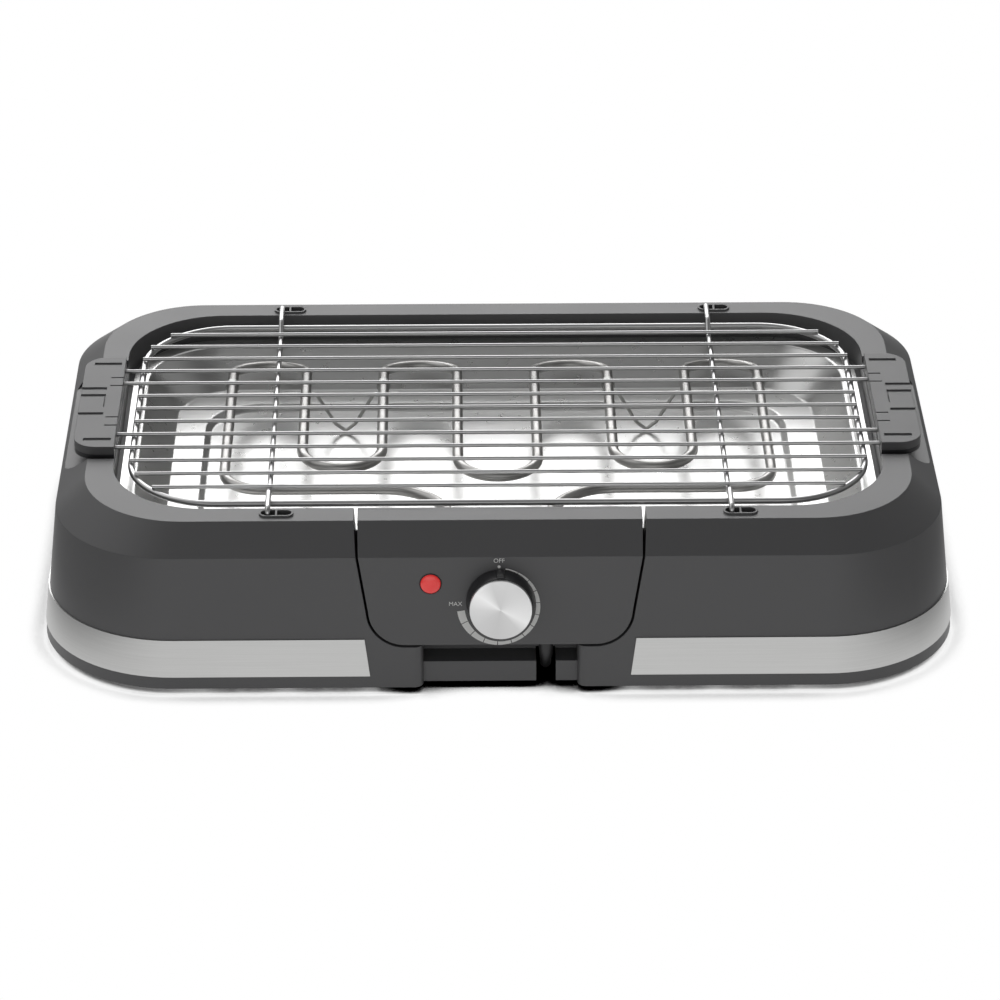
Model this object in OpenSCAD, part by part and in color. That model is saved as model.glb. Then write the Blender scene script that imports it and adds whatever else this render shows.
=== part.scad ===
// Electric indoor grill: a moulded base with a lift-out drip tray, a lift-out heater with its
// control module in the front wall, and a chromed wire grid with two grip handles.
// Millimetres, +Z up. The origin is on the table, under the middle of the object's box.

/* [Base] */
// Width of the base at its foot
base_w = 540; // [500:1:600]
// Depth of the base at its foot
base_d = 345; // [325:1:400]
// Corner radius of the base at its foot
foot_r = 80; // [74:1:90]
// Height of the skirt's lower edge above the table
foot_z = 4.5; // [3:0.5:8]
// Height of the flat rim above the table
rim_z = 100.5; // [96:0.5:115]
// Width of the flat rim round the opening
rim_w = 15.8; // [15:0.1:20]
// Corner radius of the rim's outer edge
rim_r = 60; // [56:1:66]
// Height of the chamfer between the rim and the wall
chamfer_h = 15; // [12:0.5:20]
// Width of that chamfer, seen from above
chamfer_w = 17.5; // [14:0.5:22]
// How far the wall leans out between the chamfer and the foot
wall_flare = 9; // [5:0.5:14]
// Wall of the moulded parts
shell_t = 2.5; // [2:0.1:3]
// Corner radius of the opening
well_r = 57; // [54:1:60]
// Width of the ledge that carries the drip tray
ledge_w = 10; // [8:0.5:12]
// Height of that ledge above the table
ledge_z = 84; // [80:0.5:85]
// Top of the floor of the well above the table
well_floor_z = 20.5; // [18:0.5:26]

/* [Trim] */
// Height of the steel band's lower edge above the table
band_z = 12; // [9:0.5:16]
// Width of the steel band
band_h = 23; // [16:0.5:26]
// Thickness of the steel band
band_t = 0.8; // [0.5:0.1:1.2]
// Distance from the middle to the ends of the bands, front and back
band_end_x = 78.8; // [78.5:0.5:100]
// Lean of the ends of the bands, across the band's width
band_end_lean = 3; // [0:0.5:6]

/* [Control module] */
// Half width of the module's outline at the rim
module_top_x = 83.5; // [80:0.5:90]
// Half width of the module's outline at the foot of the chamfer
module_shoulder_x = 82.7; // [79:0.5:86]
// Middle of the lower corners, from the middle of the module
module_corner_x = 55.2; // [50:0.2:58]
// Radius of the lower corners
module_corner_r = 22; // [18:1:24]
// Height of the module's lower edge above the table
module_z = 30.3; // [29:0.1:34]
// Gap between the module and the base
module_gap = 1.5; // [0.8:0.1:1.8]
// Gap between the module and the base on the rim
rim_gap = 2.2; // [1.5:0.1:2.4]
// Height of the knob's axis where it meets the panel
knob_z = 58.2; // [56:0.2:59]
// Diameter of the knob's skirt
knob_d = 40; // [38:0.5:42]
// How far the knob stands out from the panel
knob_h = 14; // [12:0.5:18]
// Diameter of the aluminium disc on the knob
knob_cap_d = 36.4; // [32:0.2:37]
// Thickness of that disc
disc_t = 2.8; // [2:0.1:3.5]
// Width of the pointer rib on the knob's skirt
rib_w = 4.6; // [3:0.2:6]
// Height of the pilot lamp's middle above the table
lamp_z = 69.2; // [66:0.2:71]
// Sideways place of the pilot lamp
lamp_x = -40.3; // [-46:0.1:-36]
// Diameter of the pilot lamp's lens
lamp_d = 12.6; // [8:0.1:14]

/* [Recess and cord outlet] */
// Half width of the recess under the module
recess_x = 44.8; // [42:0.2:46]
// Radius of the recess's upright edges on the wall
recess_edge_r = 5.5; // [3:0.5:6]
// Height of the step in the recess above the table
recess_step_z = 17; // [15:0.5:20]
// Depth of the recess below its step
recess_low_depth = 7; // [5:0.5:8]
// Depth of the recess above its step
recess_high_depth = 22; // [20:0.5:26]
// Sideways place of the cord
cord_x = 26.6; // [24:0.1:32]
// How far the cord hangs behind the foot of the front wall
cord_in = 11.9; // [11.7:0.1:12.3]

/* [Drip tray] */
// Width of the tray's flange
tray_flange_w = 9; // [7:0.5:10]
// Clearance round the tray's flange in the opening
tray_clear = 2.8; // [1.5:0.1:3.5]
// Thickness of the tray's sheet
tray_t = 0.8; // [0.6:0.1:1.2]
// Slope of the tray's walls, seen from above
tray_slope = 17.5; // [12:0.5:20]
// Height of the tray's shoulder above the table
tray_shoulder_z = 62; // [60:0.5:66]
// Depth of the basin below the shoulder
basin_h = 4.5; // [3:0.5:6]
// Width of the shoulder round the basin
basin_margin = 18.5; // [14:0.5:24]

/* [Heating element] */
// Diameter of the tubular element
element_d = 6.5; // [6:0.1:7]
// Height of the element's axis above the table
element_z = 88.6; // [88.5:0.1:90]
// Distance between the outer legs and the side of the opening
leg_side_gap = 64.8; // [60:0.2:70]
// How much wider the front loops are than the back loops
pitch_more = 2.2; // [0:0.1:3]
// Place of the legs' back ends
leg_back_y = 71.5; // [66:0.5:76]
// How far the back loops dip
loop_dip = 15; // [0:1:18]
// Place of the front end of the two middle legs
middle_leg_front_y = -45.2; // [-50:0.2:-40]
// Place of the front end of the legs beside them
side_leg_front_y = -33.5; // [-40:0.5:-26]
// Place of the front leads
lead_y = -84.2; // [-88:0.2:-80]
// Radius of the two outer front corners
lead_corner_r = 22; // [16:1:26]
// Radius of the bends into the module
lead_bend_r = 42; // [36:1:42]
// Sideways place of the element's terminals
terminal_x = 28; // [26:0.5:32]
// Wire of the element's supports
bracket_wire = 2.2; // [1.8:0.1:2.8]
// Place of the element's supports
bracket_y = 51; // [46:0.5:56]

/* [Grid] */
// Number of long wires
wire_count = 13; // [11:2:13]
// Distance between the long wires
wire_pitch = 17.1; // [16.5:0.1:17.4]
// Diameter of the long wires
wire_d = 2.4; // [2:0.1:3]
// Diameter of the ring wire
ring_d = 4; // [3.5:0.1:5]
// Diameter of the cross wires
cross_d = 3.2; // [2.8:0.1:3.6]
// Clearance between the ring's middle line and the opening, at the sides
ring_side_gap = 10; // [8:0.5:12]
// Clearance between the ring's middle line and the opening, front and back
ring_front_gap = 12; // [10:0.5:14]
// Corner radius of the ring's middle line
ring_r = 53; // [46:1:56]
// Sideways place of the cross wires
cross_x = 134.4; // [125:0.2:140]
// Length of the handles
handle_l = 121.2; // [116:0.2:124]
// Width of the handles
handle_w = 24.5; // [23:0.5:26]
// Thickness of the handles
handle_h = 8; // [7:0.2:9]
// Radius of the handles' outer corners
handle_r = 13.5; // [9:0.5:15]
// Clearance at each end of the handles in the base's recesses
handle_end_gap = 5.6; // [4:0.2:7]
// Height of the floor of those recesses above the wall's upper edge
grip_step = 2; // [1.5:0.1:3]
// Depth of the grooves on the handles
groove_h = 0.8; // [0.4:0.1:1]
// Width of the five broad grooves
groove_w = 3.4; // [2:0.2:4]
// Width of the thin grooves
slit_w = 1.2; // [0.8:0.1:1.6]

/* [Sockets] */
// Length of the two-hole sockets for the cross wires
socket_l = 20; // [19:0.5:24]
// Width of those sockets
socket_w = 8.5; // [8:0.1:10]
// How far the sockets stand above the rim
socket_rise = 1; // [0.5:0.1:1.5]
// Depth of the holes in the sockets
socket_depth = 13; // [11:0.5:14]
// Wall between and round the holes
socket_wall = 1.2; // [1:0.1:1.5]

/* [Cord] */
// Diameter of the mains cord
cord_d = 6.4; // [6:0.1:7]

/* [Hidden] */

bore_fn = 40;
corner_fn = 80;
bend_fn = 48;
bar_fn = 24;
thin = 0.01;
over = 1;
seat = 0.05;

// Finishes
charcoal = [0.25, 0.25, 0.26];
dark = [0.13, 0.13, 0.14];
steel = [0.78, 0.78, 0.78];
chrome = [0.85, 0.85, 0.86];

// Outline of the base, from the foot up to the rim
foot_ax = base_w / 2;
foot_by = base_d / 2;
shoulder_z = rim_z - chamfer_h;
shoulder_ax = foot_ax - wall_flare;
shoulder_by = foot_by - wall_flare;
shoulder_r = foot_r - wall_flare;
rim_ax = shoulder_ax - chamfer_w;
rim_by = shoulder_by - chamfer_w;
well_ax = rim_ax - rim_w;
well_by = rim_by - rim_w;
chamfer_l = norm([chamfer_w, chamfer_h]);
// Slope of the wall, and the inset of the wall from the foot's outline at height z
wall_tilt = atan(wall_flare / (shoulder_z - foot_z));
function wall_inset(z) = (z - foot_z) * tan(wall_tilt);
function wall_y(z) = -(foot_by - wall_inset(z));

// Lower well, below the ledge
low_ax = well_ax - ledge_w;
low_by = well_by - ledge_w;
low_r = well_r - ledge_w;

// Place of the object in its frame: the knob stands out in front of the base
knob_reach = knob_h * cos(wall_tilt) + knob_cap_d / 2 * sin(wall_tilt) - wall_y(knob_z);
frame_y = (knob_reach - foot_by) / 2;

// Handles and their recesses
handle_in_x = well_ax + 0.5;
handle_z = rim_z + 5 - handle_h;
recess_end_y = handle_l / 2 + handle_end_gap;
wire_z = rim_z - 0.1;
ring_z = wire_z - wire_d / 2 - ring_d / 2 - seat;
ring_ax = well_ax - ring_side_gap;
ring_by = well_by - ring_front_gap;
cross_z = wire_z - wire_d / 2 - cross_d / 2 - seat;
cross_top_z = rim_z + socket_rise + cross_d / 2 + 0.3;
cross_foot_z = rim_z - socket_depth + 1.5;
socket_y = rim_by - rim_w / 2 - 0.7;
hole_x = (socket_l / 2 - socket_wall / 2) / 2 + socket_wall / 4;
handle_wires = [3, 4, 8, 9];
handle_bite = 14;
handle_screw_y = [-20, 20];
handle_screw_x = handle_in_x + handle_w / 2 + 3;
handle_screw_d = 2.4;
handle_head_d = 5;
handle_head_h = 1.3;
handle_screw_l = 5.2;
grip_floor_z = shoulder_z + grip_step;
grip_out_x = shoulder_ax - grip_step * chamfer_w / chamfer_h + 0.5;

// Drip tray
flange_ax = well_ax - tray_clear;
flange_by = well_by - tray_clear + 0.3;
flange_r = well_r - tray_clear;
tray_top_z = ledge_z + tray_t;
wall_top_ax = flange_ax - tray_flange_w;
wall_top_by = flange_by - tray_flange_w;
wall_top_r = flange_r - tray_flange_w;
wall_foot_ax = wall_top_ax - tray_slope;
wall_foot_by = wall_top_by - tray_slope;
wall_foot_r = wall_top_r - tray_slope / 2;
basin_ax = wall_foot_ax - basin_margin;
basin_by = wall_foot_by - basin_margin;
basin_r = wall_foot_r - basin_margin / 4;
basin_slope = 2.5;
basin_z = tray_shoulder_z - basin_h;

// Heating element
back_pitch = (well_ax - leg_side_gap - 1.5 * pitch_more) / 3.5;
front_pitch = back_pitch + pitch_more;
leg_x = [for (k = [-1.5:1.5]) for (s = [-0.5, 0.5]) k * (back_pitch + front_pitch) + s * back_pitch];
terminal_y = -(well_by + 18);
bar_z = element_z - element_d / 2 - bracket_wire / 2 - seat;
bracket_foot_z = basin_z + bracket_wire / 2 + seat;
cold_pin_d = 3;
ferrule_h = 8;
cold_pin_l = 8;
clip_w = 4;
clip_t = 1;

// Module
module_in_y = -(well_by + shell_t);
module_floor_z = module_z + module_gap / 2;
shaft_d = 6;
shaft_fit = 0.05;
shaft_out = knob_h - disc_t - 1.2;
shaft_in = 11.5;
shaft_hole_d = 10;
lens_hole_d = lamp_d + 0.2;
collar_h = 3;
stat_l = 21;
stat_d = 27;
stat_back = shell_t + collar_h + stat_l;
bulb_d = 4.5;
bulb_l = 28;
bulb_up = 7;
bulb_off = 3.4;
boss_in = 9;
boss_d = 7;
screw_d = 2.6;
cover_head_d = 5.6;
cover_head_h = 1.2;
cover_screw_l = 12.5;
knob_gap = 0.6;
disc_seat = 0.6;
disc_bevel = 0.5;
skirt_top = knob_h - disc_t + disc_seat;
knob_wall = 3;
hub_d = 11;

// Kick panel, feet and cord
foot_x = 196;
foot_y = 92;
foot_pad_d = 20;
// Places of the ribs beside the cross wires
rib_in = 34;
rib_out = 16;
foot_up = 3;
foot_bore_d = 8;
foot_bore_h = 5;
foot_hole_d = 3.4;
foot_screw_l = 11;
foot_head_d = 6;
foot_head_h = 2.2;
slot_w = cord_d + 1.6;
slot_shelf_w = cord_d + 5;
cord_z = cord_d / 2;
cord_bend_r = 4 * cord_d;
cord_y = -(foot_by - cord_in);
relief_turn = 25;
relief_top_z = module_z + 11.7;
relief_top_r = 5;
relief_end_r = 3.7;
relief_flange_h = 1.5;
end_run = 1;
end_gap = 0.1;

// Points along the bend under the module: a is the turn from straight down
function cord_arc(a) = [
  cord_x,
  cord_y + cord_bend_r * (1 - cos(a)),
  cord_z + cord_bend_r * (1 - sin(a))
];

// The relief and the cord meet on one straight line, with square ends
relief_way = [0, sin(relief_turn), -cos(relief_turn)];
relief_end = cord_arc(relief_turn) + end_run * relief_way;

// Coil behind the base: in towards the middle, up one layer, and out again
coil_out_r = 44;
coil_step = cord_d + 0.6;
coil_rise = cord_d + 0.6;
coil_turns = 1.375;
coil_climb = 0.5;
coil_x = cord_x + coil_out_r;
coil_y = foot_by + 59.5;
coil_all = 2 * coil_turns + coil_climb;
coil_rings = 24;
function coil_r(t) =
  coil_out_r - coil_step * min(t, coil_all - t);
function coil_z(t) =
  cord_z + coil_rise * ease((t - coil_turns) / coil_climb);
function ease(u) = let (v = min(1, max(0, u))) v * v * (3 - 2 * v);
function coil_at(t) = [
  coil_x - coil_r(t) * cos(360 * t),
  coil_y + coil_r(t) * sin(360 * t),
  coil_z(t)
];
// The cord's free stretch: out of the relief, round its bend, and straight under the base to the coil
bend_steps = 7;
run_steps = 18;
run_from = cord_y + cord_bend_r;
run_to = coil_y - cord_d;
cord_route = concat(
  [for (d = [end_gap, end_gap + end_run]) relief_end + d * relief_way],
  [for (i = [1:bend_steps]) cord_arc(relief_turn + (90 - relief_turn) * i / bend_steps)],
  [for (i = [1:run_steps]) [cord_x, run_from + (run_to - seat - run_from) * i / run_steps, cord_z]]
);
coil_end = coil_at(coil_all);
// The coil's own path: its ends run straight for one cord's diameter
coil_path = concat(
  [[cord_x, run_to, cord_z]],
  [for (i = [0:coil_rings * coil_all - 1]) coil_at(i / coil_rings)],
  [coil_end, coil_end + [cord_d, 0, 0]]
);
coil_gap = min([
  for (i = [0:3:len(coil_path) - 1]) for (j = [i + 8:len(coil_path) - 1])
    norm(coil_path[i] - coil_path[j])
]) - cord_d;
echo(coil_least_gap = coil_gap);
tail_l = 22;
echo(cord_length = path_length(cord_route) + path_length(coil_path) + tail_l);
function path_length(p) = len(p) < 2 ? 0 : sum([for (i = [1:len(p) - 1]) norm(p[i] - p[i - 1])]);
function sum(v) = [for (x = v) 1] * v;

// Plug
plug_at = coil_end + [cord_d + seat, 0, 0];
plug_l = 40;
plug_w = 34;
plug_h = 2 * coil_end[2];
plug_neck_l = 22;
plug_neck_d = 11;
pin_d = 4;
pin_l = 19;
pin_pitch = 9.5;
earth_up = 3;

// ---------------------------------------------------------------- shapes

// Everything is drawn about the base's middle and set into the frame here
module placed() {
  translate([0, frame_y, 0]) children();
}

// Rounded rectangle from its half sizes and corner radius
module round_rect(ax, by, r) {
  square([2 * ax, 2 * (by - r)], center = true);
  square([2 * (ax - r), 2 * by], center = true);
  for (x = [-1, 1], y = [-1, 1]) {
    translate([x * (ax - r), y * (by - r)]) circle(r, $fn = corner_fn);
  }
}

// Upright prism on that outline
module prism(ax, by, r, z0, z1) {
  translate([0, 0, z0]) linear_extrude(z1 - z0) round_rect(ax, by, r);
}

// Smooth loft between two such outlines: each is [ax, by, r, z]
module loft(low, high) {
  hull() {
    translate([0, 0, low[3]]) linear_extrude(thin) round_rect(low[0], low[1], low[2]);
    translate([0, 0, high[3] - thin]) linear_extrude(thin) round_rect(high[0], high[1], high[2]);
  }
}

// The wall's own loft, grown outwards by t
module wall_form(t) {
  loft([foot_ax + t, foot_by + t, foot_r + t, foot_z],
       [shoulder_ax + t, shoulder_by + t, shoulder_r + t, shoulder_z]);
}

// The base as a solid block
module outer_form() {
  wall_form(0);
  loft([shoulder_ax, shoulder_by, shoulder_r, shoulder_z - thin],
       [rim_ax, rim_by, rim_r, rim_z]);
}

// The hollow inside the skirt, one wall in from the block
module inner_form() {
  top_in = shell_t * (chamfer_l - chamfer_w) / chamfer_h;
  shoulder_drop = shell_t * (chamfer_l - chamfer_h) / chamfer_w;
  loft([foot_ax - shell_t + wall_inset(foot_z + over), foot_by - shell_t + wall_inset(foot_z + over),
        foot_r - shell_t, foot_z - over],
       [shoulder_ax - shell_t, shoulder_by - shell_t, shoulder_r - shell_t,
        shoulder_z - shoulder_drop]);
  loft([shoulder_ax - shell_t, shoulder_by - shell_t, shoulder_r - shell_t,
        shoulder_z - shoulder_drop - thin],
       [rim_ax - top_in, rim_by - top_in, rim_r - top_in, rim_z - shell_t]);
}

// Outline of the control module, grown by g: x across, y up
module module_outline(g) {
  corner = [module_corner_x, module_z + module_corner_r];
  r = module_corner_r + g;
  shoulder = [module_shoulder_x + g, shoulder_z];
  d = norm(shoulder - corner);
  turn = atan2(shoulder[1] - corner[1], shoulder[0] - corner[0]) - acos(r / d);
  // Just inside the corner's circle, so that the side meets it at a small angle
  touch = corner + 0.995 * r * [cos(turn), sin(turn)];
  top_x = module_top_x + g + sign(g) * (rim_gap - module_gap) / 2;
  right = [
    [corner[0], module_z - g], [touch[0], touch[1]], [shoulder[0], shoulder[1]],
    [top_x, rim_z], [top_x, rim_z + over]
  ];
  left = [for (i = [len(right) - 1:-1:0]) [-right[i][0], right[i][1]]];
  polygon(concat(right, left));
  for (side = [-1, 1]) translate([side * corner[0], corner[1]]) circle(r, $fn = corner_fn);
}

// That outline run back between two depths
module module_prism(g, y0, y1) {
  translate([0, y1, 0]) rotate([90, 0, 0]) linear_extrude(y1 - y0) module_outline(g);
}

// Puts its children on the sloped panel, with +Z along the panel's outward normal
module on_panel(x, z) {
  translate([x, wall_y(z), z]) rotate([90 - wall_tilt, 0, 0]) children();
}

// Stadium plate, lying along X
module stadium(l, w, h) {
  linear_extrude(h) {
    square([l - w, w], center = true);
    for (x = [-1, 1]) translate([x * (l - w) / 2, 0]) circle(d = w, $fn = bore_fn);
  }
}

// Plan with a straight inner edge at x0 and two rounded corners at x1
module one_sided(x0, x1, half_l, r) {
  intersection() {
    translate([x0, -half_l - over]) square([x1 - x0 + over, 2 * (half_l + over)]);
    union() {
      translate([x0, -half_l]) square([x1 - r - x0, 2 * half_l]);
      translate([x0, r - half_l]) square([x1 - x0, 2 * (half_l - r)]);
      for (y = [-1, 1]) translate([x1 - r, y * (half_l - r)]) circle(r, $fn = corner_fn);
    }
  }
}

// Straight rod between two points
module rod(a, b, d) {
  v = b - a;
  translate(a) rotate([0, acos(v[2] / norm(v)), atan2(v[1], v[0])])
    cylinder(h = norm(v), d = d, $fn = bar_fn);
}

// Bend of a round bar in the XY plane: from angle a over sweep degrees
module bend(r, d, a, sweep) {
  rotate([0, 0, a]) rotate_extrude(angle = sweep, $fn = bend_fn)
    translate([r, 0]) circle(d = d, $fn = bar_fn);
}

function unit(v) = v / norm(v);
// Direction of a path at point i, and the ring of points of a tube there
function along(p, i) = unit(p[min(i + 1, len(p) - 1)] - p[max(i - 1, 0)]);
// A side direction for each point, carried along so the tube never twists
function sides(p, i, s) =
  i == len(p) ? [] :
  let (t = along(p, i), n = unit(s - (s * t) * t)) concat([n], sides(p, i + 1, n));

// Tube swept along points: radii r (one for each point), n faces round
module tube(p, r, n, start = [0, 0, 1]) {
  s = sides(p, 0, start);
  rings = [
    for (i = [0:len(p) - 1]) let (t = along(p, i), b = cross(t, s[i])) for (k = [0:n - 1])
      p[i] + r[i] * (cos(360 * k / n) * s[i] + sin(360 * k / n) * b)
  ];
  last = (len(p) - 1) * n;
  faces = concat(
    [for (k = [1:n - 2]) [0, k, k + 1]],
    [for (k = [1:n - 2]) [last, last + k + 1, last + k]],
    [
      for (i = [0:len(p) - 2]) for (k = [0:n - 1]) for (half = [0, 1])
        let (a = i * n + k, b = i * n + (k + 1) % n)
        half == 0 ? [a, a + n, b + n] : [a, b + n, b]
    ]
  );
  polyhedron(points = rings, faces = faces);
}

function even(p, r) = [for (x = p) r];

// ---------------------------------------------------------------- base

// Bosses under the floor for the rubber feet
module foot_places() {
  for (x = [-1, 1], y = [-1, 1]) translate([x * foot_x, y * foot_y, 0]) children();
}

// Middles of the four sockets, front and back, left and right
module socket_places() {
  for (x = [-1, 1], y = [-1, 1]) {
    translate([x * cross_x + hole_x, y * socket_y, 0]) children();
  }
}

// Solid walls left standing inside the skirt
module inner_walls() {
  prism(well_ax + shell_t, well_by + shell_t, well_r + shell_t, ledge_z - shell_t, rim_z);
  prism(low_ax + shell_t, low_by + shell_t, low_r + shell_t, well_floor_z - shell_t, rim_z);
  module_prism(module_gap / 2 + shell_t, -foot_by, -low_by);
  foot_places() translate([0, 0, foot_z])
    cylinder(h = well_floor_z, d = foot_pad_d + 2 * shell_t, $fn = bore_fn);
  for (side = [-1, 1]) {
    translate([side * (well_ax + foot_ax) / 2, 0, (grip_floor_z - shell_t + rim_z) / 2])
      cube([foot_ax - well_ax, 2 * (recess_end_y + shell_t), rim_z - grip_floor_z + shell_t], center = true);
  }
  socket_places() translate([0, 0, rim_z - socket_depth - shell_t])
    stadium(socket_l, socket_w, socket_depth + shell_t);
  // Ribs that tie the skirt to the well, clear of the sockets and the finger recesses
  for (side = [-1, 1], d = [-rib_in, rib_out]) {
    translate([side * (cross_x + d) - shell_t / 2, -foot_by, well_floor_z])
      cube([shell_t, 2 * foot_by, rim_z - well_floor_z]);
  }
  for (y = [-1, 0, 1]) {
    translate([-foot_ax, y * (recess_end_y + 3 * shell_t) - shell_t / 2, well_floor_z])
      cube([2 * foot_ax, shell_t, shoulder_z - well_floor_z]);
  }
  // Kick panel behind the recess: a low step and the wall above it
  on_slope(foot_z, recess_step_z) recess_wall_plan(recess_low_depth);
  on_slope(recess_step_z - shell_t, module_z) recess_wall_plan(recess_high_depth);
}

// Stands a plan on the front wall, square to its slope, and keeps it between two heights
module on_slope(z0, z1) {
  intersection() {
    translate([0, -foot_by, foot_z]) rotate([-wall_tilt, 0, 0]) translate([0, 0, -recess_high_depth])
      linear_extrude(module_z + 2 * recess_high_depth) children();
    translate([-foot_ax, -2 * foot_by, z0]) cube([2 * foot_ax, 2 * foot_by, z1 - z0]);
  }
}

// Plan of the recess to a depth, x across and y inwards, with its upright edges rounded on the wall
module recess_plan(depth) {
  // A little less than the radius, so that the rounding meets the wall at a small angle
  edge = 0.99 * recess_edge_r;
  translate([-recess_x, -over]) square([2 * recess_x, depth + over]);
  difference() {
    translate([-recess_x - edge, -over]) square([2 * (recess_x + edge), edge + over]);
    for (side = [-1, 1]) translate([side * (recess_x + edge), edge]) circle(recess_edge_r, $fn = bore_fn);
  }
}

// Plan of the walls round the recess
module recess_wall_plan(depth) {
  translate([-recess_x - shell_t, 0]) square([2 * (recess_x + shell_t), depth + shell_t]);
  translate([-recess_x - recess_edge_r, 0]) square([2 * (recess_x + recess_edge_r), recess_edge_r]);
}

// One piece: skirt, rim, well, ledge, pocket for the module and sockets for the grid
module base_housing() {
  color(charcoal) placed() difference() {
    union() {
      outer_form();
      socket_places() translate([0, 0, rim_z - over])
        stadium(socket_l, socket_w, socket_rise + over);
    }
    difference() {
      inner_form();
      inner_walls();
    }
    prism(well_ax, well_by, well_r, ledge_z, rim_z + 2 * over);
    prism(low_ax, low_by, low_r, well_floor_z, rim_z + over);
    // Pocket for the control module, in front of the well
    module_prism(module_gap / 2, -foot_by - over, -(low_by + shell_t));
    on_slope(foot_z - over, module_z + over) recess_plan(recess_low_depth);
    on_slope(recess_step_z, module_z + over) recess_plan(recess_high_depth);
    // Slot for the cord in the kick panel and its shelf, and its way out under the rear skirt
    translate([cord_x - slot_w / 2, -foot_by, foot_z - over])
      cube([slot_w, recess_high_depth, recess_step_z - foot_z + 2 * over]);
    translate([cord_x - slot_shelf_w / 2, cord_y - slot_shelf_w / 2, foot_z - over])
      cube([slot_shelf_w, recess_high_depth, recess_step_z - foot_z + 2 * over]);
    translate([cord_x, foot_by + over, cord_z]) rotate([90, 0, 0])
      cylinder(h = 6 * over + shell_t, d = slot_shelf_w, $fn = bore_fn);
    handle_recess(1);
    handle_recess(-1);
    socket_places() socket_holes();
    foot_places() translate([0, 0, foot_z - over])
      cylinder(h = over + foot_up, d = foot_pad_d + 0.4, $fn = bore_fn);
    foot_places() translate([0, 0, foot_z]) cylinder(h = foot_screw_l + 1, d = screw_d, $fn = bore_fn);
  }
}

// Flat-bottomed cut in the rim and chamfer, which leaves room for the fingers under a handle.
// Its outer corners follow the handle's.
module handle_recess(side) {
  inner = well_ax + shell_t;
  mirror([side < 0 ? 1 : 0, 0, 0]) translate([0, 0, grip_floor_z]) linear_extrude(rim_z)
    one_sided(inner, grip_out_x, recess_end_y, handle_r + handle_end_gap);
  translate([side * (well_ax + inner) / 2, 0, handle_z - 1 + rim_z / 2])
    cube([3 * shell_t, 2 * recess_end_y, rim_z], center = true);
}

// The two holes of a socket, and what stands between them
module socket_holes() {
  difference() {
    translate([0, 0, rim_z - socket_depth])
      stadium(socket_l - 2 * socket_wall, socket_w - 2 * socket_wall, socket_depth + 2 * socket_rise);
    translate([-socket_wall / 2, -socket_w / 2, 0]) cube([socket_wall, socket_w, rim_z + 2 * socket_rise]);
  }
}

// Steel band on one half of the base, round the corner from front to back
module trim(side) {
  color(steel) placed() intersection() {
    difference() {
      wall_form(band_t);
      wall_form(0);
    }
    rotate([90, 0, 0]) linear_extrude(4 * foot_by, center = true) polygon([
      [side * band_end_x, band_z + band_h], [side * (foot_ax + 2 * band_t), band_z + band_h],
      [side * (foot_ax + 2 * band_t), band_z], [side * (band_end_x - band_end_lean), band_z]
    ]);
  }
}

module trim_left() {
  trim(-1);
}

module trim_right() {
  trim(1);
}

module rubber_feet() {
  color(dark) placed() foot_places() difference() {
    cylinder(h = foot_z + foot_up, d = foot_pad_d, $fn = bore_fn);
    translate([0, 0, -over]) cylinder(h = foot_bore_h + over, d = foot_bore_d, $fn = bore_fn);
    cylinder(h = foot_z + foot_up + over, d = foot_hole_d, $fn = bore_fn);
  }
}

module foot_screws() {
  color(steel) placed() foot_places() {
    translate([0, 0, foot_bore_h - foot_head_h]) cylinder(h = foot_head_h, d = foot_head_d, $fn = bore_fn);
    translate([0, 0, foot_bore_h - thin]) cylinder(h = foot_screw_l, d = screw_d, $fn = bore_fn);
  }
}

// ---------------------------------------------------------------- drip tray

module drip_tray() {
  color(steel) placed() difference() {
    union() {
      prism(flange_ax, flange_by, flange_r, ledge_z, tray_top_z);
      loft([wall_foot_ax + tray_t, wall_foot_by + tray_t, wall_foot_r + tray_t, tray_shoulder_z - tray_t],
           [wall_top_ax + tray_t, wall_top_by + tray_t, wall_top_r + tray_t, tray_top_z]);
      loft([basin_ax - basin_slope + tray_t, basin_by - basin_slope + tray_t, basin_r, basin_z - tray_t],
           [basin_ax + tray_t, basin_by + tray_t, basin_r + tray_t, tray_shoulder_z]);
    }
    loft([wall_foot_ax, wall_foot_by, wall_foot_r, tray_shoulder_z],
         [wall_top_ax + 0.3, wall_top_by + 0.3, wall_top_r + 0.3, tray_top_z + 0.4]);
    loft([basin_ax - basin_slope, basin_by - basin_slope, basin_r - tray_t, basin_z],
         [basin_ax, basin_by, basin_r, tray_shoulder_z + thin]);
  }
}

// ---------------------------------------------------------------- control module

// Points where the rear cover is screwed to the fascia
module cover_places() {
  for (side = [-1, 1]) {
    translate([side * (module_shoulder_x - boss_in), module_in_y, shoulder_z - 6]) children();
    translate([side * (module_corner_x + 4), module_in_y, module_floor_z + 8]) children();
  }
}

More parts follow.
